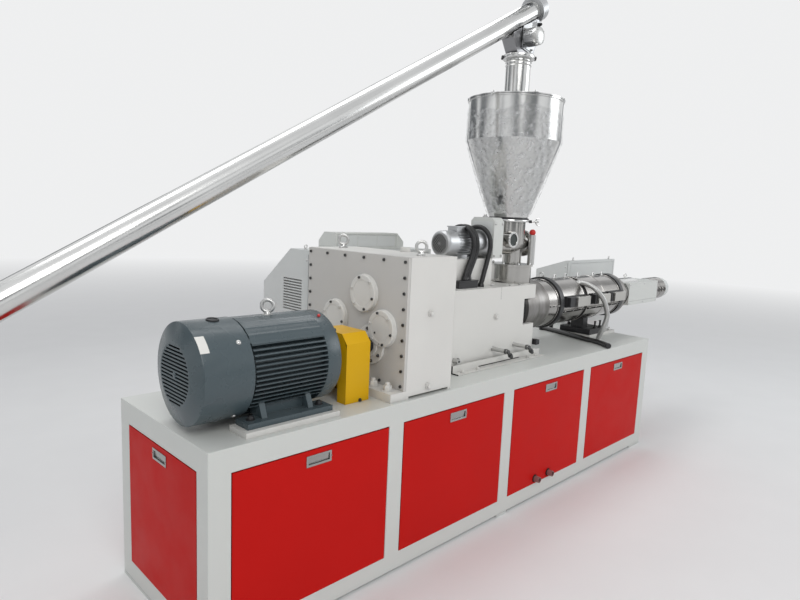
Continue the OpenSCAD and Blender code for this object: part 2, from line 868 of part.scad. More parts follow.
// Slotted angle irons on the bed, on both sides of the housing
module slotted_angles() {
    y = angle_y;
    z = bed_h + angle_t + 2;
    x = angle_x + slot_in;
    color(warm_white) for (s = [0, 1]) mirror([0, s, 0]) difference() {
        union() {
            span([angle_x, y, bed_h], [angle_x + angle_l, y + angle_t, bed_h + angle_h]);
            span([angle_x, y + angle_t - angle_w, bed_h],
                [angle_x + angle_l, y + angle_t, bed_h + angle_t]);
        }
        span([x, y - 1, z], [x + slot_l, y + angle_t + 1, z + slot_w]);
    }
}

// Oil pipes out of the housing's near face, each with an elbow and a nipple that points down
module oil_pipes() {
    color(dark_steel) for (p = oil_places)
        translate([house_x + p, -house_w / 2, bed_h + oil_h]) {
            rotate([90, 0, 0]) cylinder(h = oil_out, r = oil_r);
            translate([0, -oil_out, 0]) {
                sphere(r = elbow_r);
                rotate([0, atan2(oil_drop[0], oil_drop[2]), 0]) {
                    cylinder(h = norm(oil_drop), r = oil_r - 1);
                    translate([0, 0, norm(oil_drop) - 8]) cylinder(h = 14, r = oil_r + 2, $fn = 6);
                }
            }
        }
}

// Steel barrel with its collar, the rings between the heaters, the front ring and the nose
module barrel() {
    b = barrel_r;
    e = barrel_l;
    first = first_ring_x - mouth_x;
    mid = gap_x - mouth_x;
    color(dark_steel) turned(mouth_x, 0, axis_z, [[0, 0], [0, collar_r], [collar_l, collar_r],
        [collar_l, neck_r], [collar_l + neck_l, neck_r], [collar_l + neck_l, b], [first, b],
        [first, ring_r], [first + ring_l, ring_r], [first + ring_l, b], [mid, b],
        [mid, zone_r - 9], [mid + ring_l, zone_r - 9], [mid + ring_l, b],
        [e - nose_ring_l, b], [e - nose_ring_l, zone_r + 4], [e, zone_r + 4], [e, nose_r],
        [e + nose_l, nose_r], [e + nose_l, 0]]);
}

// Hollow heater cover around the barrel
module heater_cover(x, l, r) {
    turned(x + 1, 0, axis_z, [[0, barrel_r + fit_gap], [0, r], [l - 2, r], [l - 2, barrel_r + fit_gap]]);
}

module heater_covers() {
    color(bright_steel) {
        heater_cover(band_x, band_l, band_r);
        for (z = zones)
            heater_cover(z[0], z[1], z[2]);
    }
}

// Terminal boxes along the heaters' near side, each on a longer base
module terminal_boxes() {
    h = tbox_h / 2;
    color(bright_steel) for (z = zones) {
        r = z[2];
        x = z[0] + z[1] - tbox_l - 20;
        translate([0, 0, 16]) difference() {
            union() {
                span([z[0] + 22, -r - 14, axis_z - h - 7], [x + tbox_l + 6, -r + 40, axis_z + h + 7]);
                span([x, -r - 50, axis_z - h], [x + tbox_l, -r + 30, axis_z + h]);
            }
            rod(z[0], z[1], r + fit_gap, 0, axis_z - 16);
        }
    }
}

// Black block on the planed plate with a saddle that reaches up to the barrel
module barrel_support() {
    r = zone_r + fit_gap;
    z = bed_h + plate_t;
    x = support_x - block_l / 2;
    color(dark_steel) difference() {
        union() {
            span([x, -block_w / 2, z], [x + block_l, block_w / 2, z + block_h]);
            span([support_x - saddle_l - 20, -saddle_w / 2, z + block_h],
                [support_x - 20, saddle_w / 2, axis_z - r + 20]);
        }
        rod(x, block_l, r, 0, axis_z);
    }
}

// Braided conduit from the ring between the heaters down to the bed, and a dark one across the bed
module conduits() {
    path = smooth([for (p = conduit_route) [gap_x + 16 + p[0], p[1], axis_z + p[2]]], 3);
    bed_path = smooth([for (p = bed_route) [gap_x + p[0], p[1], bed_h + conduit_r + fit_gap]], 3);
    end = bed_route[0];
    color(bright_steel) {
        swept(path, conduit_r, [1, 0.25, 0], 12);
        difference() {
            translate([gap_x + 16, -40, axis_z + conduit_route[0][2]])
                rotate([90, 0, 0]) cylinder(h = -40 - conduit_route[0][1], r = conduit_r + 2);
            rod(gap_x, ring_l, zone_r - 9 + fit_gap, 0, axis_z);
        }
    }
    color(dark_steel) {
        swept(bed_path, conduit_r, [0, 0, 1], 12);
        translate([gap_x + end[0], end[1] + conduit_r + 2, bed_h])
            cylinder(h = 2 * conduit_r + 10, r = conduit_r + 2);
    }
}

// Round adapter between the barrel and the die
module die_adapter() {
    color(bright_steel) turned(adapter_x, 0, axis_z, [[0, 0], [0, adapter_r - 16], [10, adapter_r - 6],
        [24, adapter_r], [adapter_l - 24, adapter_r], [adapter_l - 8, adapter_r - 8],
        [adapter_l, adapter_r - 20], [adapter_l, 0]]);
}

// Folded cover around the adapter and the die
module die_cover() {
    w = die_w / 2;
    h = die_h / 2;
    color(off_white) difference() {
        span([die_x, -w, axis_z - h], [die_end, w, axis_z + h]);
        rod(die_x - 1, adapter_x + adapter_l - die_x + 1, adapter_r + fit_gap, 0, axis_z);
    }
}

// Die head with its outlet and tapped holes for a tool
module die_head() {
    l = head_l;
    color(cabinet_grey) difference() {
        turned(die_end, 0, axis_z, [[0, 0], [0, head_r], [l - 40, head_r], [l - 36, head_r - 6],
            [l, head_r - 6], [l, 0]]);
        rod(head_end - outlet_d, outlet_d + 1, outlet_r, 0, axis_z);
        for (k = [0 : die_bolt_n - 1])
            rotate_about_axis(360 * k / die_bolt_n)
                rod(head_end - 25, 26, die_bolt_r, die_pcd / 2, axis_z);
    }
}

// Turns its children about the screws' axis
module rotate_about_axis(a) {
    translate([0, 0, axis_z]) rotate([a, 0, 0]) translate([0, 0, -axis_z]) children();
}

// Folded stand under the feeder's motor
module feeder_stand() {
    x0 = case_x - 290;
    x1 = case_x + 10;
    w = case_w / 2 - stand_inset;
    color(warm_white) difference() {
        span([x0, -w, deck_z], [x1, w, case_z]);
        span([x0 - 1, -w + stand_t, deck_z - 1], [x1 + 1, w - stand_t, case_z - stand_t]);
    }
}

// Geared motor of the feeder
module feeder_motor() {
    r = fmotor_r;
    l = fmotor_l;
    color(bright_steel) {
        turned(case_x - l, 0, feed_z, [[0, 0], [0, r - 10], [6, r - 2], [14, r], [80, r], [80, r - 8],
            [186, r - 8], [186, r], [206, r], [206, r + 6], [224, r + 6], [224, r - 2], [l - 30, r + 4],
            [l - 16, r + 8], [l, r + 8], [l, 0]]);
        span([case_x - l + 96, -36, case_z], [case_x - l + 176, 36, feed_z - r + 14]);
    }
}

// Chain case with chamfered corners
module feeder_case() {
    w = case_w / 2;
    c = case_c;
    color(cabinet_grey) profile_x(case_x, case_l)
        polygon([[-w, case_z], [w, case_z], [w, case_z + case_h - c], [w - c, case_z + case_h],
            [c - w, case_z + case_h], [-w, case_z + case_h - c]]);
}

// Drum that carries the feeder, seated on the deck and saddled on the barrel's collar
module feeder_drum() {
    h = drum_top - deck_z;
    color(bright_steel) difference() {
        translate([drum_x, 0, deck_z]) rotate_extrude()
            polygon([[0, 0], [drum_r - 8, 0], [drum_r - 8, h - drum_rim], [drum_r, h - drum_rim],
                [drum_r, h], [0, h]]);
        rod(mouth_x - 50, 400, collar_r + fit_gap, 0, axis_z);
    }
}

// Screw tube with the throat that the hopper stands on and the drop into the drum
module feeder_body() {
    x0 = case_x + case_l;
    x1 = drum_x + feed_r + 32;
    rim = 8;
    sight_x = hop_x - 72;
    sight_z = feed_z + 24;
    sight_y = -feed_r - 33;
    color(bright_steel) difference() {
        union() {
            rod(x0, x1 - x0, feed_r, 0, feed_z);
            rod(x1 - 12, 24, feed_r + 14, 0, feed_z);
            translate([drum_x, 0, drum_top]) cylinder(h = feed_z - drum_top, r = feed_r - 8);
            translate([hop_x, 0, feed_z]) cylinder(h = throat_z - feed_z, r = throat_r);
            translate([hop_x, 0, throat_z - rim]) cylinder(h = rim, r = cone_r + 4);
            translate([sight_x, sight_y + 45, sight_z]) rotate([90, 0, 0]) cylinder(h = 45, r = 45);
        }
        translate([hop_x, 0, feed_z]) cylinder(h = throat_z - feed_z + 1, r = throat_r - hopper_t);
        translate([sight_x, sight_y + 10, sight_z]) rotate([90, 0, 0]) cylinder(h = 11, r = 33);
    }
}

// Upright pipe beside the feeder with the red knob of the slide gate
module gate_post() {
    r = 20;
    x = drum_x + 65;
    y = -feed_r - r - 4;
    z = feed_z + 66;
    color(bright_steel) translate([x, y, drum_top]) cylinder(h = z - drum_top - 14, r = r);
    color(door_red) translate([x, y, z]) sphere(r = 17);
}

// Route of one hose: up from the deck on the far side, over the motor, and down on the near side
function hose_route(p) = concat(
    [[0, loop_r + 4, 0], [0, loop_r + 4, 15], [0, loop_r + 2, feed_h * 0.5]],
    [for (a = [0 : 30 : 180]) [0, loop_r * cos(a), feed_h + loop_r * sin(a)]],
    [[p[1] * 0.1, -loop_r, feed_h - 50], [p[1] * 0.8, -loop_r - 4, p[2] + 50],
        [p[1], -loop_r - 4, p[2] + 15], [p[1], -loop_r - 4, p[2]]]);

// Black hoses that loop over the feeder's motor, two of them from a gland box beside the stand
module feeder_hoses() {
    x = case_x - 300;
    y = -case_w / 2 + stand_inset - 4;
    color(black_plastic) {
        for (p = hose_places)
            translate([case_x + p[0], 0, deck_z]) swept(smooth(hose_route(p), 2), hose_r, [1, 0, 0], 12);
        span([x, y - gland_w, deck_z], [x + gland_l, y, deck_z + gland_h]);
    }
}

// Long cone of the hopper with a flange at its outlet
module hopper_cone() {
    t = hopper_t;
    r = hopper_r;
    h = hopper_z - cone_z;
    color(bright_steel) translate([hop_x, 0, cone_z]) rotate_extrude()
        polygon([[throat_r - t, -8], [cone_r + 4, -8], [cone_r + 4, 0], [cone_r, 0], [r, h], [r - t, h],
            [cone_r - t, 0], [throat_r - t, 0]]);
}

// Cylinder of the hopper with a rim for the lid
module hopper_cylinder() {
    r = hopper_r;
    color(bright_steel) translate([hop_x, 0, hopper_z]) rotate_extrude()
        polygon([[r - hopper_t, 0], [r, 0], [r, hopper_cyl - 8], [r + 6, hopper_cyl - 8],
            [r + 6, hopper_cyl], [r - hopper_t, hopper_cyl]]);
}

// Lid with its spout, which has two beads and a flange at its top
module hopper_lid() {
    r = spout_r;
    i = spout_r - spout_wall;
    h = lid_t + spout_h;
    color(bright_steel) translate([hop_x, 0, hopper_top]) rotate_extrude()
        polygon([[i, 0], [hopper_r + 7, 0], [hopper_r + 7, lid_t], [r, lid_t],
            [r, h - 46], [r + 4, h - 42], [r, h - 38], [r, h - 28], [r + 4, h - 24],
            [r, h - 20], [r, h - 8], [r + 14, h - 8], [r + 14, h], [i, h]]);
}

// Places children in the loader's own frame: X along the tube, origin over the spout
module along_loader() {
    translate([hop_x, 0, chute_top]) rotate([0, -loader_tilt, 0]) children();
}

// Sheet chute that leads from the tube's end down to the spout
module loader_chute() {
    f = chute_flange;
    mid = chute_h * 0.4;
    side = loader_over + 50;
    color(cabinet_grey) difference() {
        union() {
            translate([hop_x, 0, spout_top]) cylinder(h = f, r = spout_r + 14);
            translate([hop_x, chute_w / 2, spout_top]) rotate([90, 0, 0]) linear_extrude(chute_w)
                polygon([[1 - spout_r, f], [spout_r + 5, f], [loader_over + 7, f + mid],
                    [side, chute_h + side * rise], [-112, chute_h - 112 * rise], [-112, f + mid * 0.8]]);
        }
        along_loader() {
            rod(-400, 400 + loader_up + 1, loader_r + 3 + fit_gap, 0, 0);
            rod(loader_up, 200, drive_r + fit_gap, 0, 0);
        }
    }
}

// Polished tube of the screw loader, with a plain rim at its upper end
module loader_tube() {
    l = loader_l;
    color(bright_steel) along_loader() turned(loader_up - l, 0, 0, [[0, 0], [0, loader_r - 6],
        [8, loader_r], [l - 14, loader_r], [l - 14, loader_r + 3], [l, loader_r + 3], [l, 0]]);
}

// Gear unit on the tube's upper end with its motor standing square to the tube, and the small
// geared motor on the chute's near face
module loader_motor() {
    gear_l = 74;
    r = lmotor_r;
    l = lmotor_l;
    dome = 8;
    color(cabinet_grey) {
        along_loader() {
            turned(loader_up, 0, 0, [[0, 0], [0, drive_r], [14, drive_r], [14, drive_r - 5],
                [gear_l - 12, drive_r - 5], [gear_l, drive_r - 14], [gear_l, 0]]);
            translate([loader_up + gear_l / 2, 0, 0]) rotate_extrude()
                polygon([[0, 0], [gear_l / 2 - 2, 0], [gear_l / 2 - 2, drive_r], [r + 6, drive_r],
                    [r + 6, drive_r + 12], [r, drive_r + 12], [r, l], [r + 3, l], [r + 3, l + 60],
                    [r - 8, l + 68], [0, l + 68]]);
        }
        translate([hop_x + 3, -chute_w / 2, spout_top + 99]) {
            rotate([90, 0, 0]) rotate_extrude()
                polygon([[0, 0], [shaker_r - 6, 0], [shaker_r - 6, 12], [shaker_r, 12],
                    [shaker_r, shaker_l - dome], [shaker_r - 5, shaker_l - 2], [shaker_r - 16, shaker_l],
                    [0, shaker_l]]);
            span([-16, -shaker_l + 8, shaker_r - 8], [16, -shaker_l + 38, shaker_r + 26]);
        }
    }
}

// Open bin that the tube draws powder from, with a hole for the tube in its end wall
module powder_bin() {
    t = bin_t;
    l = bin_l / 2;
    w = bin_w / 2;
    color(bright_steel) difference() {
        translate([bin_x, 0, 0]) {
            difference() {
                union() {
                    span([-l, -w, bin_floor], [l, w, bin_h]);
                    span([-l - 16, -w - 16, bin_h - 3], [l + 16, w + 16, bin_h]);
                }
                span([-l + t, -w + t, bin_floor + t], [l - t, w - t, bin_h + 1]);
            }
        }
        along_loader() rod(-loader_l, loader_l, loader_r + fit_gap, 0, 0);
    }
}

// Angle stand with four legs and feet under the bin
module bin_stand() {
    l = bin_l / 2;
    w = bin_w / 2;
    color(off_white) translate([bin_x, 0, 0]) {
        for (sx = [-1, 1], sy = [-1, 1]) {
            x = sx * (l - 20);
            y = sy * (w - 20);
            span([x - 20, y - 20, 8], [x + 20, y + 20, bin_floor]);
            span([x - 35, y - 35, 0], [x + 35, y + 35, 8]);
        }
        for (sy = [-1, 1])
            span([-l + 40, sy * (w - 20) - 15, 60], [l - 40, sy * (w - 20) + 15, 90]);
        for (sx = [-1, 1])
            span([sx * (l - 20) - 15, -w + 40, 60], [sx * (l - 20) + 15, w - 40, 90]);
    }
}

// Outline of a floor cabinet in Y and Z, with its far upper edge sloped
module cabinet_outline(w, h, sw, sh) {
    polygon([[0, 0], [w, 0], [w, h - sh], [w - sw, h], [0, h]]);
}

// Floor cabinets: one behind the gearbox with louvres in its end, and one beside the die
module side_cabinets() {
    color(cabinet_grey) {
        difference() {
            translate([0, cab_y, 0]) profile_x(cab_left, cab_l)
                cabinet_outline(cab_w, cab_h, cab_slope_w, cab_slope_h);
            for (k = [0 : 11])
                span([cab_left - 1, cab_y + 68, cab_h - 312 + k * 14],
                    [cab_left + 3, cab_y + 228, cab_h - 305 + k * 14]);
        }
        translate([0, diecab_y, 0]) profile_x(diecab_x, diecab_l)
            cabinet_outline(diecab_w, diecab_h, diecab_w - 28, diecab_slope_h);
    }
}

// Low control box on the cabinet, chamfered at both ends
module control_box() {
    l = cbox_l;
    h = cbox_h;
    c = cbox_h / 2;
    color(off_white) translate([cab_left + 63, cab_y + 30 + cbox_w, cab_h]) rotate([90, 0, 0])
        linear_extrude(cbox_w) polygon([[0, 0], [l, 0], [l, h - c], [l - c, h], [c, h], [0, h - c]]);
}

floor_bars();
long_rails();
cross_rails();
bed_posts();
bed_top();
door_panels();
door_pulls();
water_pipes();
planed_pads();
motor_body();
motor_cowl();
motor_end_shield();
motor_terminal_box();
coupling();
coupling_guard();
gearbox_housing();
gearbox_cover();
bearing_caps();
lifting_eyes();
gearbox_fittings();
screw_housing();
slotted_angles();
oil_pipes();
barrel();
heater_covers();
terminal_boxes();
barrel_support();
conduits();
die_adapter();
die_cover();
die_head();
feeder_stand();
feeder_motor();
feeder_case();
feeder_drum();
feeder_body();
gate_post();
feeder_hoses();
hopper_cone();
hopper_cylinder();
hopper_lid();
loader_chute();
loader_tube();
loader_motor();
powder_bin();
bin_stand();
side_cabinets();
control_box();
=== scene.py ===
import json
from math import atan2, cos, degrees, dist, pi, radians, sin, sqrt
import bmesh
import bpy
from mathutils import Matrix, Vector
from mathutils.noise import noise as noiseAt


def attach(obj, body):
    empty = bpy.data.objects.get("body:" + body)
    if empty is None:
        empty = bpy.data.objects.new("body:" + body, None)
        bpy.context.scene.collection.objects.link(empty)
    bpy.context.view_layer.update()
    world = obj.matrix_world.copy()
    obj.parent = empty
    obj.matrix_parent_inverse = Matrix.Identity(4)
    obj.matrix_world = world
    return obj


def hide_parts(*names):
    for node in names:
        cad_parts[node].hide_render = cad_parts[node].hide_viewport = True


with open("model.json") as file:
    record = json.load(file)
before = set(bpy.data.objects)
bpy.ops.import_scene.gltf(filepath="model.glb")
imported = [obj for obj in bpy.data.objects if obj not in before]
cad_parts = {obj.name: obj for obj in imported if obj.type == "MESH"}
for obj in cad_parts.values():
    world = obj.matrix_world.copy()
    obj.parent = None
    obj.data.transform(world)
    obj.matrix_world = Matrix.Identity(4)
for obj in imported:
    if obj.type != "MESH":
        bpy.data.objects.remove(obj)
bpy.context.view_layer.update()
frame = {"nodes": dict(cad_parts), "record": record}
nodes = frame["nodes"]
print("frame loaded:", len(nodes), "nodes")


# Materials

def startMaterial(name):
    material = bpy.data.materials.new(name)
    material.use_nodes = True
    tree = material.node_tree
    return material, tree, tree.nodes["Principled BSDF"]


def objectPlace(tree, stretch=(1, 1, 1)):
    place = tree.nodes.new("ShaderNodeTexCoord")
    mapping = tree.nodes.new("ShaderNodeMapping")
    mapping.inputs["Scale"].default_value = stretch
    tree.links.new(place.outputs["Object"], mapping.inputs["Vector"])
    return mapping.outputs["Vector"]


def noise(tree, scale, detail=3, stretch=(1, 1, 1)):
    texture = tree.nodes.new("ShaderNodeTexNoise")
    texture.inputs["Scale"].default_value = scale
    texture.inputs["Detail"].default_value = detail
    tree.links.new(objectPlace(tree, stretch), texture.inputs["Vector"])
    return texture.outputs["Fac"]


def remap(tree, value, low, high, start=0.3, stop=0.7):
    node = tree.nodes.new("ShaderNodeMapRange")
    for name, number in (("From Min", start), ("From Max", stop), ("To Min", low), ("To Max", high)):
        node.inputs[name].default_value = number
    tree.links.new(value, node.inputs["Value"])
    return node.outputs["Result"]


def patches(tree, scale, detail, low=0, high=1, start=0.3, stop=0.7, stretch=(1, 1, 1)):
    return remap(tree, noise(tree, scale, detail, stretch), low, high, start, stop)


def fillSockets(tree, sockets, values):  # links an output, or sets a constant on the socket
    for socket, value in zip(sockets, values):
        if isinstance(value, bpy.types.NodeSocket):
            tree.links.new(value, socket)
        else:
            socket.default_value = value


def blendColours(tree, factor, first, second):
    node = tree.nodes.new("ShaderNodeMix")
    node.data_type = "RGBA"
    tree.links.new(factor, node.inputs[0])
    values = [(*value, 1) if isinstance(value, tuple) else value for value in (first, second)]
    fillSockets(tree, node.inputs[6:8], values)
    return node.outputs[2]


def calculate(tree, kind, first, second):
    node = tree.nodes.new("ShaderNodeMath")
    node.operation = kind
    fillSockets(tree, node.inputs, (first, second))
    return node.outputs[0]


def axes(tree, vector):
    split = tree.nodes.new("ShaderNodeSeparateXYZ")
    tree.links.new(vector, split.inputs[0])
    return split.outputs


def corners(tree, distance):  # 1 in open places, falling towards 0 in corners and gaps
    node = tree.nodes.new("ShaderNodeAmbientOcclusion")
    node.inputs["Distance"].default_value = distance
    node.samples = 6
    return node.outputs["AO"]


def addBump(tree, shader, height, strength, distance=0.001, edge=0):  # edge rounds the sharp edges
    node = tree.nodes.new("ShaderNodeBump")
    node.inputs["Strength"].default_value = strength
    node.inputs["Distance"].default_value = distance
    tree.links.new(height, node.inputs["Height"])
    if edge:
        bevel = tree.nodes.new("ShaderNodeBevel")
        bevel.samples = 4
        bevel.inputs["Radius"].default_value = edge
        tree.links.new(bevel.outputs["Normal"], node.inputs["Normal"])
    tree.links.new(node.outputs["Normal"], shader.inputs["Normal"])


def dimmed(colour, share):
    return tuple(c * share for c in colour)


def setLook(tree, shader, colour, rough):
    tree.links.new(colour, shader.inputs["Base Color"])
    tree.links.new(rough, shader.inputs["Roughness"])


def paint(name, colour, rough=0.32, edge=0.002, cornerShade=0.35, peel=0.12, peelScale=260, dust=0.1, gloss=0.5,
          cloud=0.93, spot=0.05, smear=0.16):
    material, tree, shader = startMaterial(name)
    shown = blendColours(tree, patches(tree, 2.2, 4), dimmed(colour, cloud), colour)
    shown = blendColours(tree, patches(tree, 55, 6, 0, spot, 0.6, 0.9), shown, dimmed(colour, 0.8))
    geometry = tree.nodes.new("ShaderNodeNewGeometry")
    upward = remap(tree, axes(tree, geometry.outputs["Normal"])["Z"], 0, dust, 0.6, 1)
    dusty = calculate(tree, "MULTIPLY", upward, patches(tree, 7, 5, 0.2, 1))
    shown = blendColours(tree, dusty, shown, (0.55, 0.53, 0.5))
    # painted shade: corners and gaps found by ambient occlusion darken towards a third of the colour, broken
    # into patches
    shade = remap(tree, corners(tree, 0.035), cornerShade, 0, 0.35, 0.95)
    shade = calculate(tree, "MULTIPLY", shade, patches(tree, 24, 4, 0.4, 1))
    shown = blendColours(tree, shade, shown, dimmed(colour, 0.35))
    setLook(tree, shader, shown, patches(tree, 9, 5, rough - 0.375 * smear, rough + 0.625 * smear))
    shader.inputs["Specular IOR Level"].default_value = gloss
    addBump(tree, shader, noise(tree, peelScale, 2), peel, 0.0006, edge)
    return material


def steel(name, colour, rough=0.2, grain=(1, 1, 1), grainScale=300, grainDepth=0.1, creviceShade=0.25):
    material, tree, shader = startMaterial(name)
    shader.inputs["Metallic"].default_value = 1
    shown = blendColours(tree, patches(tree, 3, 5), dimmed(colour, 0.86), colour)
    # painted shade: corners and gaps found by ambient occlusion darken towards 0.3 of the colour
    shade = remap(tree, corners(tree, 0.02), creviceShade, 0, 0.3, 0.9)
    shown = blendColours(tree, shade, shown, dimmed(colour, 0.3))
    smears = calculate(tree, "ADD", patches(tree, 5, 6, rough, rough + 0.1),
                       patches(tree, grainScale, 2, -0.03, 0.03, stretch=grain))
    setLook(tree, shader, shown, smears)
    addBump(tree, shader, noise(tree, grainScale, 2, grain), grainDepth, 0.0004, 0.001)
    return material


def blackPart(name, colour, rough, speck=180):
    material, tree, shader = startMaterial(name)
    worn = blendColours(tree, patches(tree, 30, 6, 0, 0.5, 0.5, 0.8), colour,
                        tuple(c + 0.012 for c in colour))
    setLook(tree, shader, worn, patches(tree, 14, 4, rough - 0.08, rough + 0.12))
    addBump(tree, shader, noise(tree, speck, 3), 0.2, 0.0005, 0.001)
    return material


def thinSheet(name, colour, rough, alpha=None, wrinkle=30, depth=0.05, coat=0):
    material, tree, shader = startMaterial(name)
    shown = blendColours(tree, patches(tree, 6, 4), dimmed(colour, 0.94), colour)
    setLook(tree, shader, shown, patches(tree, 20, 4, rough - 0.03, rough + 0.08))
    if alpha:
        tree.links.new(patches(tree, wrinkle, 6, *alpha, 0.42, 0.68), shader.inputs["Alpha"])
    shader.inputs["Coat Weight"].default_value = coat
    addBump(tree, shader, noise(tree, wrinkle * 4, 4), depth)
    return material


# besides the ring ranges and colours, an X range and a near black colour paint shade on the bare steel at the
# housing's mouth
barrelFinish = dict(covered=(0.70, 0.71), front=(1.618, 1.619), shadedX=(0.436, 0.440),
                    shadeColour=(0.035, 0.033, 0.031), bare=((0.18, 0.17, 0.16), (0.32, 0.31, 0.30)),
                    black=(0.022, 0.022, 0.024))


def barrelSteel(name, b):  # bare steel up to the first ring, black rings in front of it, and painted shade on the bare steel at the housing's mouth
    material, tree, shader = startMaterial(name)
    x = axes(tree, objectPlace(tree))["X"]
    rings = calculate(tree, "MULTIPLY", remap(tree, x, 0, 1, *b["covered"]),
                      remap(tree, x, 1, 0, *b["front"]))
    bare = blendColours(tree, patches(tree, 8, 5, stretch=(3, 1, 1)), *b["bare"])
    # painted shade: the bare steel darkens to near black towards the housing's mouth
    bare = blendColours(tree, remap(tree, x, 1, 0, *b["shadedX"]), bare, b["shadeColour"])
    setLook(tree, shader, blendColours(tree, rings, bare, b["black"]), patches(tree, 12, 5, 0.28, 0.45))
    tree.links.new(remap(tree, rings, 1, 0, 0, 1), shader.inputs["Metallic"])
    addBump(tree, shader, noise(tree, 500, 2, (1, 0.05, 0.05)), 0.25, 0.0004, 0.0015)
    return material


finishes = dict(
    bed_paint=paint("bedPaint", (0.655, 0.67, 0.645), rough=0.36, peel=0.1, gloss=0.35, cloud=0.985,
                    spot=0.01, smear=0.04),
    cast_paint=paint("castPaint", (0.74, 0.73, 0.70), rough=0.34, peel=0.3, peelScale=90, edge=0.004),
    door_paint=paint("doorPaint", (0.57, 0.011, 0.009), rough=0.34, peel=0.1, cornerShade=0.45, dust=0, gloss=0.05),
    motor_paint=paint("motorPaint", (0.066, 0.092, 0.104), rough=0.27, peel=0.25, peelScale=140, dust=0.05),
    guard_paint=paint("guardPaint", (0.76, 0.43, 0.002), rough=0.36, cornerShade=0.45, gloss=0.25),
    grey_paint=paint("greyPaint", (0.68, 0.70, 0.69), rough=0.36),
    stainless=steel("stainless", (0.74, 0.74, 0.73), rough=0.14, grainDepth=0.05),
    zinc_steel=steel("zincSteel", (0.62, 0.62, 0.61), rough=0.3),
    dark_steel=blackPart("darkSteel", (0.02, 0.02, 0.022), 0.4),
    black_hose=blackPart("blackHose", (0.008, 0.008, 0.009), 0.42, speck=400),
    cast_alloy=steel("castAlloy", (0.60, 0.61, 0.62), rough=0.36, grainScale=120, grainDepth=0.3),
    # painted shade: a darker copy of the cast paint, used on the gearbox cover
    shadedCastPaint=paint("shadedCastPaint", (0.60, 0.585, 0.56), rough=0.4, peel=0.2, peelScale=120),
    matteBlack=blackPart("matteBlack", (0.006, 0.006, 0.007), 0.85),
    gunmetal=steel("gunmetal", (0.13, 0.13, 0.13), rough=0.32, grainDepth=0.15, creviceShade=0.5),
    braid=steel("braid", (0.52, 0.52, 0.51), rough=0.3, grainScale=900, grainDepth=0.6, creviceShade=0.6),
    paper=thinSheet("labelPaper", (0.80, 0.79, 0.75), 0.55),
    redPlastic=thinSheet("redPlastic", (0.62, 0.02, 0.015), 0.3),
    film=thinSheet("hopperFilm", (0.82, 0.83, 0.84), 0.1, alpha=(0.02, 0.42), wrinkle=36, depth=0.35,
                   coat=0.4),
    # painted shade: stainless darkened for the door pulls, standing in for the shade in their recesses
    shadedPullSteel=steel("shadedPullSteel", (0.43, 0.43, 0.42), rough=0.16, grainDepth=0.05, creviceShade=0.6),
    pipePaint=paint("pipePaint", (0.30, 0.145, 0.14), rough=0.4, cornerShade=0.6, gloss=0.3),
    barrelSteel=barrelSteel("barrelSteel", barrelFinish),
    # painted reflection: stainless darkened to stand in for the dark surroundings the heater covers and die
    # bands reflect
    darkReflectionSteel=steel("darkReflectionSteel", (0.40, 0.385, 0.37), rough=0.13, grain=(0.1, 1, 1), grainDepth=0.04),
    lidSteel=steel("lidSteel", (0.62, 0.61, 0.58), rough=0.3, grainDepth=0.06),
    feederSteel=steel("feederSteel", (0.50, 0.49, 0.47), rough=0.12, grainDepth=0.04),
    sightGlass=blackPart("sightGlass", (0.02, 0.03, 0.028), 0.12),
    castDark=steel("castDark", (0.42, 0.42, 0.42), rough=0.4, creviceShade=0.5),
    chuteSteel=steel("chuteSteel", (0.34, 0.34, 0.35), rough=0.26, creviceShade=0.5))
ownFinishes = dict(gearbox_cover="shadedCastPaint", gearbox_fittings="cast_paint", barrel="barrelSteel",
                   feeder_case="bed_paint", loader_chute="chuteSteel", door_pulls="shadedPullSteel",
                   water_pipes="pipePaint", feeder_body="feederSteel", feeder_drum="feederSteel")


def dress(nodeName, material):
    piece = nodes[nodeName]
    if not piece.material_slots:
        piece.data.materials.append(material)
    for place in piece.material_slots:
        place.link = "OBJECT"
        place.material = material


for part in frame["record"]["subparts"]:
    dress(part["node"], finishes[ownFinishes.get(part["node"], part["material_slot"])])
print("finishes set")


# Shapes

def startShapes(count):
    return [bmesh.new() for number in range(count)]


def at(x, y, z):
    return Matrix.Translation((x, y, z))


def rolled(angle, axis):  # degrees
    return Matrix.Rotation(radians(angle), 4, axis)


def facing(place, axis, spin=0):  # local Z along axis
    turn = Vector(axis).to_track_quat("Z", "Y").to_matrix().to_4x4()
    return Matrix.Translation(place) @ turn @ rolled(spin, "Z")


def wheel(x, y, z, radius, angle):  # place on a circle around a line along X
    return Vector((x, y + radius * cos(angle), z + radius * sin(angle)))


def addBox(shape, low, high, turn=None):  # between two opposite corners in any order
    middle = (Vector(low) + Vector(high)) / 2
    size = map(abs, Vector(high) - Vector(low))
    place = Matrix.Translation(middle) @ Matrix.Diagonal((*size, 1))
    made = bmesh.ops.create_cube(shape, size=1)["verts"]
    bmesh.ops.transform(shape, matrix=turn @ place if turn else place, verts=made)


def joinLines(shape, first, second):
    for k in range(len(first) - 1):
        shape.faces.new((first[k], first[k + 1], second[k + 1], second[k]))


def addSheet(shape, lines, closed=True):  # a strip between four lines of vertices, lines[layer][side]
    for layer in lines if closed else lines[1:]:
        joinLines(shape, *layer)
    for side in (0, 1):
        joinLines(shape, lines[0][side], lines[1][side])
    for k in (0, -1):
        shape.faces.new((lines[0][0][k], lines[0][1][k], lines[1][1][k], lines[1][0][k]))


def joinRings(shape, rings):
    for first, second in zip(rings, rings[1:]):
        count = max(len(first), len(second))
        for k in range(count):
            loop = (first[k % len(first)], first[(k + 1) % len(first)],
                    second[(k + 1) % len(second)], second[k % len(second)])
            loop = list(dict.fromkeys(loop))
            if len(loop) > 2:
                shape.faces.new(loop)


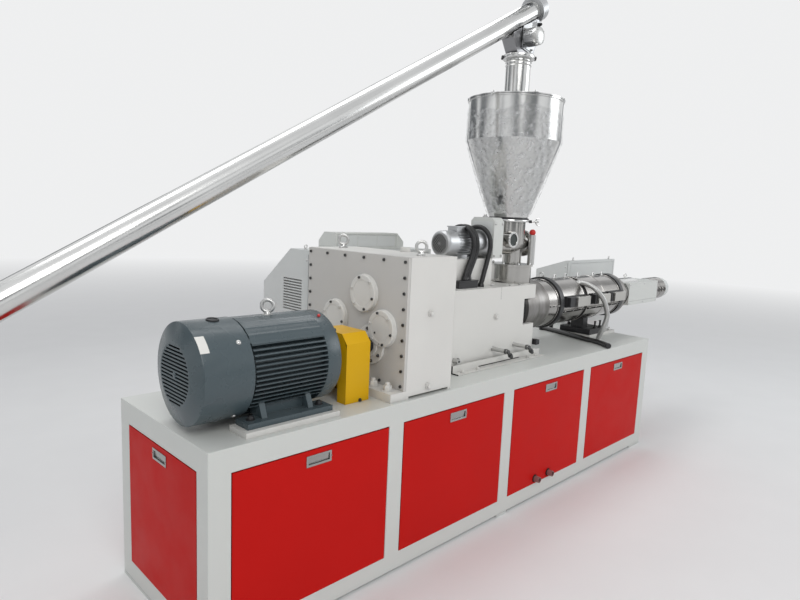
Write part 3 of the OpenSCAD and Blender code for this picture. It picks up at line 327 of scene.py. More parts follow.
def addPrism(shape, ends):  # two closed outlines of places, joined and capped
    rings = [[shape.verts.new(place) for place in end] for end in ends]
    joinRings(shape, rings)
    shape.faces.new(rings[0][::-1])
    shape.faces.new(rings[1])


def addTurned(shape, turn, profile, sides=24):  # profile of (radius, height) along local Z
    rings = []
    for radius, height in profile:
        count = sides if radius > 1e-6 else 1
        angles = (2 * pi * k / sides for k in range(count))
        rings.append([shape.verts.new(turn @ Vector((radius * cos(a), radius * sin(a), height)))
                      for a in angles])
    joinRings(shape, rings)


def addKnob(shape, turn, sides, *pairs):  # turned piece from pairs of radius and height in millimetres
    addTurned(shape, turn, [(r / 1000, h / 1000) for r, h in zip(pairs[::2], pairs[1::2])], sides)


def disc(radius, tall):
    return [(0, 0), (radius, 0), (radius, tall), (0, tall)]


def band(inner, outer, tall):
    return [(inner, 0), (outer, 0), (outer, tall), (inner, tall), (inner, 0)]


def smoothPath(points, steps):
    line = [Vector(p) for p in points]
    line = [2 * line[0] - line[1]] + line + [2 * line[-1] - line[-2]]
    path = []
    for a, b, c, d in zip(line, line[1:], line[2:], line[3:]):
        for step in range(steps):
            t = step / steps
            path.append(0.5 * (2 * b + (c - a) * t + (2 * a - 5 * b + 4 * c - d) * t * t
                               + (3 * b - a - 3 * c + d) * t ** 3))
    return path + [line[-2]]


def evenPath(points, gap):  # smooth curve through the points with a ring about every gap
    rough = smoothPath(points, 12)
    path, spare = [rough[0]], 0
    for first, second in zip(rough, rough[1:]):
        length = (second - first).length
        while spare + length >= gap:
            first = first.lerp(second, (gap - spare) / length)
            path.append(first)
            length = (second - first).length
            spare = 0
        spare += length
    return path + [rough[-1]] if spare > gap * 0.3 else path


def addTube(shape, path, radius, sides=12, ripple=0):  # ripple takes off at every other pair of rings
    tangent = (path[1] - path[0]).normalized()
    side = tangent.orthogonal().normalized()
    rings = []
    for k, point in enumerate(path):
        ahead = (path[min(k + 1, len(path) - 1)] - path[max(k - 1, 0)]).normalized()
        side = tangent.rotation_difference(ahead) @ side
        tangent = ahead
        other = tangent.cross(side)
        reach = radius - ripple * (k // 2 % 2)
        angles = (2 * pi * s / sides for s in range(sides))
        rings.append([shape.verts.new(point + reach * (cos(a) * side + sin(a) * other)) for a in angles])
    joinRings(shape, [[shape.verts.new(path[0])]] + rings + [[shape.verts.new(path[-1])]])


def addHexBolt(shape, place, axis, across, tall, washer=0, stud=0, spin=0):
    turn = facing(place, axis, spin)
    r = across / 2
    if washer:
        addTurned(shape, turn, disc(washer, 0.002), 20)
        turn = turn @ at(0, 0, 0.002)
    addTurned(shape, turn, [(0, 0), (r, 0), (r, tall * 0.82), (r * 0.88, tall), (0, tall)], 6)
    if stud:
        addTurned(shape, turn, [(0, tall - 0.001), (r * 0.55, tall - 0.001), (r * 0.55, tall + stud * 0.8),
                                (r * 0.42, tall + stud), (0, tall + stud)], 12)


def addSocketScrew(shape, place, axis, radius, tall):
    profile = [(0, tall * 0.35), (radius * 0.5, tall * 0.35), (radius * 0.52, tall * 0.94),
               (radius * 0.9, tall), (radius, tall * 0.86), (radius, 0), (0, 0)]
    addTurned(shape, facing(place, axis, sum(place) * 9000), profile, 12)


def show(piece):
    bpy.context.scene.collection.objects.link(piece)
    return piece


def finishPiece(name, shape, finish, slot=None, soften=0, replaced=(), angle=35):
    slot = slot or finish
    bmesh.ops.recalc_face_normals(shape, faces=shape.faces)
    mesh = bpy.data.meshes.new(name)
    shape.to_mesh(mesh)
    shape.free()
    mesh.materials.append(finishes[finish])
    piece = show(bpy.data.objects.new(name, mesh))
    mesh.polygons.foreach_set("use_smooth", [True] * len(mesh.polygons))
    mesh.set_sharp_from_angle(angle=radians(angle))
    if soften:
        bevel = piece.modifiers.new("softEdge", "BEVEL")
        bevel.width = soften
        bevel.segments = 2
        bevel.limit_method = "ANGLE"
        bevel.angle_limit = radians(40)
        bevel.harden_normals = True
    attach(piece, "root")
    if replaced:
        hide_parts(*replaced)


def cutShape(shape, cutters, result=None):  # takes boxes out of a shape and adds what is left to the result
    pieces = []
    for part in (shape, cutters):
        bmesh.ops.recalc_face_normals(part, faces=part.faces)
        mesh = bpy.data.meshes.new("cutting")
        part.to_mesh(mesh)
        part.free()
        pieces.append(show(bpy.data.objects.new("cutting", mesh)))
    cut = pieces[0].modifiers.new("cut", "BOOLEAN")
    cut.object = pieces[1]
    cut.operation = "DIFFERENCE"
    cut.solver = "EXACT"
    cut.use_self = True
    result = result or bmesh.new()
    result.from_object(pieces[0], bpy.context.evaluated_depsgraph_get())
    for piece in pieces:
        bpy.data.objects.remove(piece)
    return result


# Bed frame and door pulls

bed = dict(endX=1.605, sideY=0.36, low=0.012, top=0.74, plate=0.016, wall=0.06, firstDoor=-1.523,
           doorStep=0.782, doorWide=0.70, doorLow=0.087, doorHigh=0.654, endDoorHalf=0.282, edge=0.0025,
           bar=0.06, bays=4)


def makeBedFrame(b):
    body, holes = startShapes(2)
    x, y = b["endX"], b["sideY"]
    innerX, innerY = x - b["wall"], y - b["wall"]
    addBox(body, (-x, -y, b["low"]), (x, y, b["top"]))
    addBox(holes, (-innerX, -innerY, -0.1), (innerX, innerY, b["top"] - b["plate"]))
    for k in range(b["bays"]):
        start = b["firstDoor"] + k * b["doorStep"]
        addBox(holes, (start, -1, b["doorLow"]), (start + b["doorWide"], 1, b["doorHigh"]))
    addBox(holes, (-2, -b["endDoorHalf"], b["doorLow"]), (2, b["endDoorHalf"], b["doorHigh"]))
    cut = cutShape(body, holes)
    for k in range(1, b["bays"]):
        left = b["firstDoor"] + k * b["doorStep"] - (b["doorStep"] - b["doorWide"] + b["bar"]) / 2
        for low in (b["low"], b["top"] - b["plate"] - b["bar"]):
            addBox(cut, (left, -innerY, low), (left + b["bar"], innerY, low + b["bar"]))
    finishPiece("bedFrame", cut, "bed_paint", soften=b["edge"],
                replaced=("long_rails", "cross_rails", "bed_posts", "bed_top"))


pulls = dict(places=(-1.173, -0.391, 0.391, 1.173), hiddenBehind=-0.391, height=0.611, wide=0.0955,
             high=0.0265, thick=0.0014, depth=0.0012, lean=5, screwOut=0.0085)


def makePullFlaps(p):
    flaps = bmesh.new()
    half, high = p["wide"] / 2, p["high"]
    x, y, z = bed["endX"], bed["sideY"], p["height"]
    spots = [((place, -y, z), 0) for place in p["places"]]
    spots += [((place, y, z), 180) for place in p["places"] if place != p["hiddenBehind"]]
    spots += [((-x, 0, z), -90), ((x, 0, z), 90)]
    for place, turned in spots:
        spot = at(*place) @ rolled(turned, "Z")
        hinge = spot @ at(0, p["depth"], high / 2) @ rolled(p["lean"], "X")
        addBox(flaps, (-half, 0, -high), (half, p["thick"], 0), hinge)
        addBox(flaps, (-half * 0.45, -0.0012, -high + 0.002), (half * 0.45, 0.0002, -high + 0.005), hinge)
        for side in (-1, 1):
            screw = facing(spot @ Vector((side * (half + p["screwOut"]), -0.003, 0)), -spot.col[1].to_3d())
            addKnob(flaps, screw, 12, 0, 0, 2.4, 0, 1.8, 0.8, 0, 1)
    finishPiece("pullFlaps", flaps, "shadedPullSteel", "stainless", 0.0004)


makeBedFrame(bed)
makePullFlaps(pulls)
print("bed frame and pulls made")


# Gearbox screws and nuts

gearbox = dict(face=-0.730, halfWide=0.319, low=0.794, high=1.311, across=6, down=9, headRadius=0.0068,
               headTall=0.005, nutY=(-0.28, -0.19, 0.06, 0.17, 0.28), nutX=-0.767, flangeTop=0.776)


def makeGearboxScrews(g):
    screws, nuts = startShapes(2)
    half, tall = g["halfWide"], g["high"] - g["low"]
    spots = [(-half + 2 * half * k / (g["across"] - 1), z) for k in range(g["across"])
             for z in (g["low"], g["high"])]
    spots += [(y, g["low"] + tall * k / (g["down"] - 1)) for k in range(1, g["down"] - 1)
              for y in (-half, half)]
    for y, z in spots:
        addSocketScrew(screws, (g["face"] - 0.001, y, z), (-1, 0, 0), g["headRadius"], g["headTall"])
    for y in g["nutY"]:
        addHexBolt(nuts, (g["nutX"], y, g["flangeTop"]), (0, 0, 1), 0.038, 0.02, 0.026, 0.012, 11)
    finishPiece("gearboxScrews", screws, "gunmetal", "dark_steel")
    finishPiece("flangeNuts", nuts, "cast_paint")


makeGearboxScrews(gearbox)
print("gearbox screws made")


# Motor

motor = dict(y=-0.130, z=0.940, cowlRadius=0.178, cowlScrewX=-1.446, cowlScrews=(41, 139, -55, 235),
             labelX=(-1.588, -1.556), labelAngles=(33, 54), labelRows=10, plugX=-1.480, plugAngle=84,
             redPlugX=-1.067, redPlugAngle=68, footX=(-1.400, -1.110), footY=0.1355, footTop=0.780,
             boltX=-1.031, boltRadius=0.156, rimX=-1.097,
             rim=(150, 0, 173.5, 0, 174.5, 1, 174.5, 58, 172, 63, 166, 66, 112, 66, 106, 60, 100, 30, 150, 20,
                  150, 0))


def aroundMotor(x, angle, radius):  # angle above level, on the near side
    return wheel(x, motor["y"], motor["z"], radius, radians(180 - angle))


def offMotor(x, angle, radius):  # turn whose local Z points away from the motor's axis
    return facing(aroundMotor(x, angle, radius), aroundMotor(0, angle, 1) - aroundMotor(0, angle, 0))


def makeMotorDetails(m):
    label, dark, screws, red, bolts, rim = startShapes(6)
    low, high = m["labelAngles"]
    angles = [low + (high - low) * k / m["labelRows"] for k in range(m["labelRows"] + 1)]
    addSheet(label, [[[label.verts.new(aroundMotor(x, angle, m["cowlRadius"] + out)) for angle in angles]
                      for x in m["labelX"]] for out in (0.0001, 0.0006)], closed=False)
    addKnob(dark, offMotor(m["plugX"], m["plugAngle"], m["cowlRadius"] - 0.001), 32,
            0, 0, 22.5, 0, 22.5, 4, 20.5, 6, 17, 6, 15.5, 3, 0, 2.5)
    for angle in m["cowlScrews"]:
        addKnob(screws, offMotor(m["cowlScrewX"], angle, m["cowlRadius"] - 0.0005), 16,
                0, 0, 9, 0, 9, 1, 6.5, 1.2, 6, 3.5, 4, 4.6, 0, 5)
    addKnob(red, offMotor(m["redPlugX"], m["redPlugAngle"], 0.172), 16, 0, 0, 6, 0, 6, 8, 4.5, 10, 0, 11)
    for x in m["footX"]:
        for side in (-1, 1):
            spot = (x, m["y"] + side * m["footY"], m["footTop"])
            addHexBolt(bolts, spot, (0, 0, 1), 0.024, 0.010, 0.016, 0.004, 17 * side)
    for angle in (45, 135, 225, 315):
        addHexBolt(bolts, aroundMotor(m["boltX"], angle, m["boltRadius"]), (1, 0, 0), 0.016, 0.009, 0.011)
    addKnob(rim, facing((m["rimX"], m["y"], m["z"]), (1, 0, 0)), 96, *m["rim"])
    finishPiece("cowlLabel", label, "paper", "motor_paint")
    finishPiece("cowlPlugs", dark, "dark_steel")
    finishPiece("cowlScrews", screws, "zinc_steel")
    finishPiece("greaseCap", red, "redPlastic", "door_paint")
    finishPiece("motorBolts", bolts, "dark_steel")
    finishPiece("shieldRim", rim, "motor_paint", angle=40)


makeMotorDetails(motor)
print("motor details made")


# Cowl, guard, bearing caps and lifting eyes, in the place of their plainer solids

cowl = dict(front=-1.407, edge=-1.588, face=-1.606, radius=0.178, faceRadius=0.112, wall=0.003, slots=16,
            slotPitch=0.0127, slotTall=0.0066, slotReach=0.104, hub=0.011)


def makeCowl(c):
    shell, cutters = startShapes(2)
    turn = facing((c["front"], motor["y"], motor["z"]), (-1, 0, 0))
    back, rim, w = c["front"] - c["face"], c["front"] - c["edge"], c["wall"]
    r, faceR, hub = c["radius"], c["faceRadius"], c["hub"]
    profile = [(r, 0), (r, rim - 0.004), (r - 0.001, rim - 0.001), (r - 0.004, rim + 0.0008),
               (faceR, back - 0.0006), (faceR - 0.003, back), (0, back), (0, back - w),
               (faceR - 0.003, back - w), (r - 0.006, rim - w), (r - w, rim - w - 0.002), (r - w, 0), (r, 0)]
    addTurned(shell, turn, profile, 96)
    bmesh.ops.remove_doubles(shell, verts=shell.verts, dist=0.00001)
    for k in range(c["slots"]):
        z = (k + 0.5 - c["slots"] / 2) * c["slotPitch"]
        reach = sqrt(c["slotReach"] ** 2 - z * z)
        low = motor["z"] + z - c["slotTall"] / 2
        addBox(cutters, (c["face"] - 0.01, motor["y"] - reach, low),
               (c["face"] + 0.012, motor["y"] + reach, low + c["slotTall"]))
    cut = cutShape(shell, cutters)
    addTurned(cut, turn, [(0, back - 0.001), (hub, back - 0.001), (hub, back + 0.0015),
                          (hub * 0.6, back + 0.003), (0, back + 0.003)], 24)
    for angle in (45, 135, 225, 315):
        addBox(cut, (0.166, -0.02, -0.004), (0.1742, 0.02, 0.012), turn @ rolled(angle, "Z"))
    finishPiece("fanCowl", cut, "motor_paint", replaced=("motor_cowl",), angle=28)


guard = dict(x=(-0.960, -0.836), low=0.740, half=0.112, shoulder=0.984, topHalf=0.078, top=1.023, sheet=0.002,
             openRadius=0.058, edge=0.0018, steps=18, screwIn=0.076)


def makeGuard(g):
    folded, screws = startShapes(2)
    y, w, t, r = motor["y"], g["half"], g["sheet"], g["openRadius"]
    halves = [[(w, g["low"]), (w, g["shoulder"]), (g["topHalf"], g["top"])],
              [(w - t, g["low"]), (w - t, g["shoulder"] - t * 0.7), (g["topHalf"] - t * 0.5, g["top"] - t)]]
    outline, inside = [[(-p, z) for p, z in half] + half[::-1] for half in halves]
    addSheet(folded, [[[folded.verts.new((x, y + p, z)) for p, z in line] for x in g["x"]]
                      for line in (outline, inside)])
    arch = [(-r * cos(pi * s / g["steps"]), motor["z"] + r * sin(pi * s / g["steps"]))
            for s in range(g["steps"] + 1)]
    hole = [(-r, g["low"])] + arch + [(r, g["low"])]
    lengths = [0]
    for a, b in zip(inside, inside[1:]):
        lengths.append(lengths[-1] + dist(a, b))
    rim = []
    for k in range(len(hole)):
        want = lengths[-1] * k / (len(hole) - 1)
        part = min(max(i for i, have in enumerate(lengths) if have <= want + 1e-9), len(inside) - 2)
        share = (want - lengths[part]) / (lengths[part + 1] - lengths[part])
        rim.append(tuple(p + (q - p) * share for p, q in zip(inside[part], inside[part + 1])))
    for x in (g["x"][0], g["x"][1] - t):
        lines = [[folded.verts.new((end, y + p, z)) for p, z in line] for end in (x, x + t)
                 for line in (rim, hole)]
        for first, second in ((0, 1), (2, 3), (1, 3)):
            joinLines(folded, lines[first], lines[second])
    for side in (-1, 1):
        spot = (g["x"][0] + g["screwIn"], y + side * w, g["low"] + 0.007)
        addHexBolt(screws, spot, (0, side, 0), 0.011, 0.006, 0.008)
    finishPiece("couplingGuard", folded, "guard_paint", soften=g["edge"], replaced=("coupling_guard",))
    finishPiece("guardScrews", screws, "dark_steel")


bearings = dict(out=0.020, caps=((0.115, 1.029, 0.077), (-0.078, 1.157, 0.081), (-0.202, 1.020, 0.079)),
                boltIn=0.011, bolts=6, firstBolt=14, darkBolts=(1, 3, 4), inputRadius=0.0855, inputOut=0.012,
                inputBolts=8, inputBoltRadius=0.070)


def makeBearingCaps(c):
    caps, heads, bare = startShapes(3)
    face, out = gearbox["face"], c["out"]
    for y, z, r in c["caps"]:
        profile = [(0, -0.001), (r + 0.003, -0.001), (r + 0.003, 0.002), (r, 0.004), (r, out - 0.003),
                   (r - 0.003, out), (r - 0.022, out), (r - 0.024, out - 0.0015), (0, out - 0.0015)]
        addTurned(caps, facing((face, y, z), (-1, 0, 0)), profile, 72)
        for k in range(c["bolts"]):
            a = radians(360 / c["bolts"] * k + c["firstBolt"])
            addSocketScrew(bare if k in c["darkBolts"] else heads,
                           wheel(face - out, y, z, r - c["boltIn"], a), (-1, 0, 0), 0.006, 0.005)
    r, out = c["inputRadius"], c["inputOut"]
    profile = [(0.0325, 0), (r, 0), (r, out - 0.002), (r - 0.002, out), (0.052, out), (0.050, out + 0.006),
               (0.0325, out + 0.006), (0.0325, 0)]
    addTurned(caps, facing((face, motor["y"], motor["z"]), (-1, 0, 0)), profile, 72)
    for k in range(c["inputBolts"]):
        spot = wheel(face - out, motor["y"], motor["z"], c["inputBoltRadius"], radians(45 * k - 12))
        addHexBolt(bare, spot, (-1, 0, 0), 0.011, 0.006, 0.0075)
    finishPiece("bearingCaps", caps, "cast_paint", soften=0.0008, replaced=("bearing_caps",))
    finishPiece("capScrews", heads, "cast_paint")
    finishPiece("capScrewsBare", bare, "gunmetal", "dark_steel")


eyes = dict(places=((-1.252, -0.130, 1.109, 0.0215), (-0.5815, 0.262, 1.330, 0.022),
                    (-0.5815, -0.262, 1.330, 0.022), (1.935, 0.0, 1.1045, 0.0105)), turned=-40, steps=48)


def makeEyes(e):
    shape = bmesh.new()
    for x, y, z, r in e["places"]:
        place = at(x, y, z) @ rolled(e["turned"], "Z")
        collar = ((0, 0), (0.95, 0), (0.95, 0.22), (0.85, 0.34), (0.55, 0.42), (0.42, 0.8), (0, 0.9))
        addTurned(shape, place, [(r * wide, r * tall) for wide, tall in collar], 32)
        angles = [2 * pi * k / e["steps"] for k in range(e["steps"] + 1)]
        addTube(shape, [place @ Vector((r * sin(a), 0, r * 1.78 - r * cos(a))) for a in angles], r * 0.32, 14)
    finishPiece("liftingEyes", shape, "zinc_steel", replaced=("lifting_eyes",))


makeCowl(cowl)
makeGuard(guard)
makeBearingCaps(bearings)
makeEyes(eyes)
print("cowl, guard, caps and eyes made")


# Oil pipes, angle irons and painted shade in the screw housing's mouth

oil = dict(places=(-0.206, 0.108, 0.300), wall=-0.160, height=0.821, out=0.096, radius=0.0115,
           firstHeight=0.800, firstOut=0.034, hole=(0.022, 0.018, 0.005), nipple=(0.034, -0.004, -0.032))


def makeOilPipes(p):
    pipes, fittings, holes = startShapes(3)
    near, drop = (0, -1, 0), Vector(p["nipple"])
    nipple = [(r, share * drop.length) for r, share in (
        (0, 0), (0.0085, 0), (0.0085, 0.55), (0.0125, 0.55), (0.0125, 0.82), (0.009, 0.85), (0.009, 1.05),
        (0.006, 1.1), (0, 1.1))]
    for k, x in enumerate(p["places"]):
        height, out = (p["height"], p["out"]) if k else (p["firstHeight"], p["firstOut"])
        start = Vector((x, p["wall"] - 0.0005, height))
        end = Vector((x, p["wall"] - out, height))
        addTube(pipes, [start, start.lerp(end, 0.5), end], p["radius"], 20)
        if k:
            addKnob(pipes, facing(start, near), 24, 0, 0, 14.5, 0, 13.5, 2, 0, 2.5)
            addKnob(fittings, facing(end + Vector((0, 0.016, 0)), near), 6,
                    0, 0, 13.5, 0, 14.5, 2, 14.5, 12, 12, 14, 12, 20, 10, 26, 4, 28, 0, 28)
            addTurned(fittings, facing(end, drop), nipple, 12)
        else:
            # painted shade: dark discs in the first pipe's open end and in the hole beside it
            addKnob(holes, facing(end, near), 16, 0, 0.4, 6.2, 0.4, 6.2, 0.8, 0, 0.8)
            addKnob(holes, facing(end + Vector(p["hole"]), near), 12, 0, -12, 4, -12, 4, 0, 0, 1)
    finishPiece("oilPipes", pipes, "zinc_steel", "dark_steel", replaced=("oil_pipes",))
    finishPiece("oilFittings", fittings, "gunmetal", "dark_steel", 0.0006)
    finishPiece("oilHoleShade", holes, "matteBlack", "dark_steel")


irons = dict(x=(-0.242, 0.480), end=0.520, slot=(-0.042, 0.327), face=0.187, foot=0.225, boltY=0.207,
             bolts=(-0.19, -0.07, 0.37, 0.45))


def makeAngleDetails(a):
    dark, bolts, ends = startShapes(3)
    (x0, x1), (slotStart, slotEnd) = a["x"], a["slot"]
    for side in (-1, 1):
        y, foot = side * a["face"], side * a["foot"]
        addBox(dark, (slotStart, y - side * 0.006, 0.7462), (slotEnd, y - side * 0.0049, 0.7538))
        addBox(dark, (x0 - 0.0014, y, 0.7405), (x0 + 0.0002, y - side * 0.0095, 0.7800))
        addBox(dark, (x0 - 0.0014, foot, 0.7405), (x0 + 0.0002, y, 0.7462))
        for x in a["bolts"]:
            addHexBolt(bolts, (x, side * a["boltY"], 0.745), (0, 0, 1), 0.017, 0.008, 0.011, 0.004, 40 * x)
        addBox(ends, (x1 - 0.001, y, 0.7402), (a["end"], y - side * 0.005, 0.776))
        addBox(ends, (x1 - 0.001, foot, 0.7402), (a["end"], y, 0.7452))
    finishPiece("angleEnds", ends, "cast_paint", soften=0.0008)
    finishPiece("angleShadows", dark, "matteBlack", "dark_steel")
    finishPiece("angleBolts", bolts, "cast_paint")


mouth = dict(place=(0.3755, 0, 1.0), ring=(152.2, 0, 153.4, 0, 153.4, 30, 152.2, 31, 152.2, 0),
             x=(0.3751, 0.3762), y=(0.1595, 0.05), z=(0.9245, 1.0675))


# painted shade: a matt black ring and two strips standing in for the deep shade inside the housing's mouth
def makeMouthShade(m):
    shadeRing = bmesh.new()
    addKnob(shadeRing, facing(m["place"], (1, 0, 0)), 96, *m["ring"])
    for side in (-1, 1):
        low, high = zip(m["x"], [side * y for y in m["y"]], m["z"])
        addBox(shadeRing, low, high)
    finishPiece("mouthShade", shadeRing, "matteBlack", "dark_steel")


makeOilPipes(oil)
makeAngleDetails(irons)
makeMouthShade(mouth)
print("oil pipes and angle irons made")


# Hoses and conduits

hoses = dict(places=(-0.009, 0.018, 0.128), drift=(-0.064, -0.064, -0.065), ends=(0.040, 0.040, 0),
             radius=0.013, deck=1.145, axis=0.221, loop=0.088, ripple=0.0007, gap=0.0018,
             boxX=(-0.135, 0.015), boxY=(-0.110, -0.075), boxTop=1.185)


def makeHoses(h):
    shape, box = startShapes(2)
    loop, axis, deck = h["loop"], h["axis"], h["deck"]
    for x, drift, end in zip(h["places"], h["drift"], h["ends"]):
        route = [(0, loop + 0.004, 0), (0, loop + 0.004, 0.015), (0, loop + 0.002, axis * 0.5)]
        route += [(0, loop * cos(radians(a)), axis + loop * sin(radians(a))) for a in range(0, 181, 30)]
        route += [(drift * 0.1, -loop, axis - 0.05), (drift * 0.8, -loop - 0.004, end + 0.05)]
        route += [(drift, -loop - 0.004, end + rise) for rise in (0.015, 0)]
        path = evenPath([(x + along, y, deck + rise) for along, y, rise in route], h["gap"])
        addTube(shape, path, h["radius"], 16, h["ripple"])
        for spot in (path[0], path[-1]):
            addKnob(shape, facing(spot, (0, 0, 1)), 8, 0, 0, 17, 0, 17, 12, 14.8, 14, 14.8, 20, 0, 20)
    finishPiece("feederHoses", shape, "black_hose", replaced=("feeder_hoses",), angle=60)
    (x0, x1), (y0, y1), top = h["boxX"], h["boxY"], h["boxTop"]
    addBox(box, (x0, y0, deck), (x1, y1, top - 0.006))
    addBox(box, (x0 - 0.003, y0 - 0.002, top - 0.008), (x1 + 0.003, y1, top - 0.001))
    finishPiece("glandBox", box, "dark_steel", soften=0.002)


conduits = dict(start=(1.098, 0, 1.000), radius=0.0158, gap=0.0013, ripple=0.0006,
                route=((0, -100, 115), (-1, -112, 115), (-2, -135, 114), (0, -160, 107), (10, -190, 91),
                       (38, -215, 57), (70, -232, 12), (93, -242, -43), (102, -246, -84), (98, -240, -127),
                       (93, -226, -177), (95, -208, -220), (97, -202, -246), (97, -202, -259.7)),
                bedStart=(1.082, 0, 0.7560), bedRadius=0.0152, bedGap=0.002, bedRipple=0.0007,
                bedRoute=((146, 232, 0), (146, 216, 0), (133, 150, 0), (97, 28, 0), (45, -131, 0),
                          (19, -243, 0), (-30, -335, 0), (-44, -349, 0)), knob=(1.037, -0.3495, 0.7560),
                glands=((1.228, 0.246, 0.7405), (1.300, 0.215, 0.7405)))


def addConduit(shape, start, route, gap, radius, ripple):  # route in millimetres from the start
    path = evenPath([Vector(start) + Vector(place) / 1000 for place in route], gap)
    addTube(shape, path, radius, 18, ripple)
    return path[-1], path[-1] - path[-3]


def makeConduits(c):
    braid, nuts, bedRun, glands = startShapes(4)
    end, away = addConduit(braid, c["start"], c["route"], c["gap"], c["radius"], c["ripple"])
    turn = facing(Vector(c["start"]) + Vector((0, -0.104, 0.115)), (0, 1, 0))
    addKnob(nuts, turn, 6, 0, 0, 18.5, 0, 19.5, 2, 19.5, 16, 17.5, 18, 17.5, 30, 16.5, 34, 0, 34)
    addKnob(nuts, turn, 20, 0, 30, 11, 30, 11, 62, 0, 62)
    addKnob(nuts, facing(end - Vector((0, 0, 0.0001)), (0, 0, 1)), 6,
            0, 0, 20.5, 0, 20.5, 10, 17.5, 12, 17.5, 22, 0, 22)
    end, away = addConduit(bedRun, c["bedStart"], c["bedRoute"], c["bedGap"], c["bedRadius"], c["bedRipple"])
    addKnob(glands, facing(c["knob"], (-0.72, -0.69, 0)), 24, 0, -6, 16.5, -6, 17.5, -3, 17.5, 5, 15, 9, 0,
            10)
    for spot in c["glands"]:
        addKnob(glands, facing(spot, (0, 0, 1)), 10,
                0, 0, 17, 0, 17, 12, 14, 14, 14, 34, 16.5, 36, 16.5, 46, 12, 50, 0, 50)
    addKnob(glands, facing(end + Vector((0.006, 0.012, 0)), away), 10, 0, 0, 13.8, 0, 13.8, 14, 11, 17, 0, 17)
    finishPiece("braidedConduit", braid, "braid", "stainless", replaced=("conduits",), angle=60)
    finishPiece("conduitNuts", nuts, "zinc_steel", soften=0.0005)
    finishPiece("bedConduit", bedRun, "gunmetal", "dark_steel", angle=60)
    finishPiece("conduitGlands", glands, "dark_steel", soften=0.0006)


makeHoses(hoses)
makeConduits(conduits)
print("hoses and conduits made")


# Barrel: heater covers with clamp seams, lifting loops and terminal boxes

barrel = dict(axis=1.0, inner=0.119, lip=0.0016, seamAngle=-17, seamTall=0.011, seamBolts=(-0.36, 0, 0.36),
              covers=((0.662, 0.774, 0.146), (0.815, 1.081, 0.145), (1.123, 1.348, 0.145),
                      (1.354, 1.579, 0.140)),
              loops=((0.937, 0.145), (1.067, 0.145), (1.227, 0.145), (1.431, 0.140), (1.560, 0.140)),
              loopLine=((-1, -0.004, 0), (-0.6, -0.004, 0.004), (-0.25, 0, 0.019), (0.25, 0, 0.019),
                        (0.6, 0.004, 0.004), (1, 0.004, 0)),
              loopHalf=0.021, ring=(0.785, 0, 1.172), boxHalf=0.028, boxRise=0.016, boxOut=0.050,
              boxes=((0.836, 0.912, 1.062, 0.145), (1.144, 1.179, 1.329, 0.145),
                     (1.375, 1.410, 1.560, 0.140)))


def onBarrel(x, angle, radius):  # local X along the barrel, local Z outwards at that angle above level
    out = wheel(0, 0, 0, 1, radians(180 - angle))
    along = Vector((1, 0, 0))
    turn = Matrix((along, along.cross(out), out)).transposed().to_4x4()
    turn.translation = wheel(x, 0, barrel["axis"], radius, radians(180 - angle))
    return turn


def makeBarrelDetails(b):
    covers, seams, screws, loops = startShapes(4)
    for k, (x0, x1, r) in enumerate(b["covers"]):
        long, lip, inner = x1 - x0, r + b["lip"], b["inner"]
        profile = [(inner, 0), (r, 0), (lip, 0.001), (lip, 0.007), (r, 0.0085), (r, long - 0.0085),
                   (lip, long - 0.007), (lip, long - 0.001), (r, long), (inner, long), (inner, 0)]
        addTurned(covers, facing((x0, 0, b["axis"]), (1, 0, 0)), profile, 128)
        seam, tall = (b["seamAngle"], b["seamTall"]) if k else (0, b["seamTall"] / 2)
        half = long / 2
        for angle in (seam, 180 - seam):
            for shift in (-1, 1):
                turn = onBarrel(x0 + half, angle + shift * degrees(tall / 2 / r), r)
                addBox(covers, (0.002 - half, -0.0012, -0.004), (half - 0.002, 0.0012, 0.010), turn)
            for share in b["seamBolts"]:
                bolt = turn @ Vector((share * long, 0, 0.0058))
                addHexBolt(screws, bolt, turn.col[1].to_3d(), 0.009, 0.005, stud=0.004)
            turn = onBarrel(x0 + half, angle, r)
            addBox(seams, (0.001 - half, -tall / 2, -0.003), (half - 0.001, tall / 2, 0.0018), turn)
    for x, r in b["loops"]:
        line = [(x + share * b["loopHalf"], y, b["axis"] + r + rise) for share, y, rise in b["loopLine"]]
        addTube(loops, smoothPath(line, 6), 0.0042, 12)
        addKnob(loops, facing((x, 0, b["axis"] + r - 0.001), (0, 0, 1)), 16,
                0, 0, 13, 0, 13, 4, 8, 6, 8, 12, 0, 12)
    turns = (2 * pi * k / 36 for k in range(37))
    middle = Vector(b["ring"])
    addTube(loops, [middle + Vector((0.004 * cos(t), 0.017 * cos(t), 0.014 * sin(t))) for t in turns], 0.0032,
            12)
    finishPiece("heaterCovers", covers, "darkReflectionSteel", "stainless", replaced=("heater_covers",), angle=30)
    finishPiece("coverSeams", seams, "matteBlack", "dark_steel")
    finishPiece("coverScrews", screws, "zinc_steel")
    finishPiece("barrelLoops", loops, "zinc_steel", angle=50)


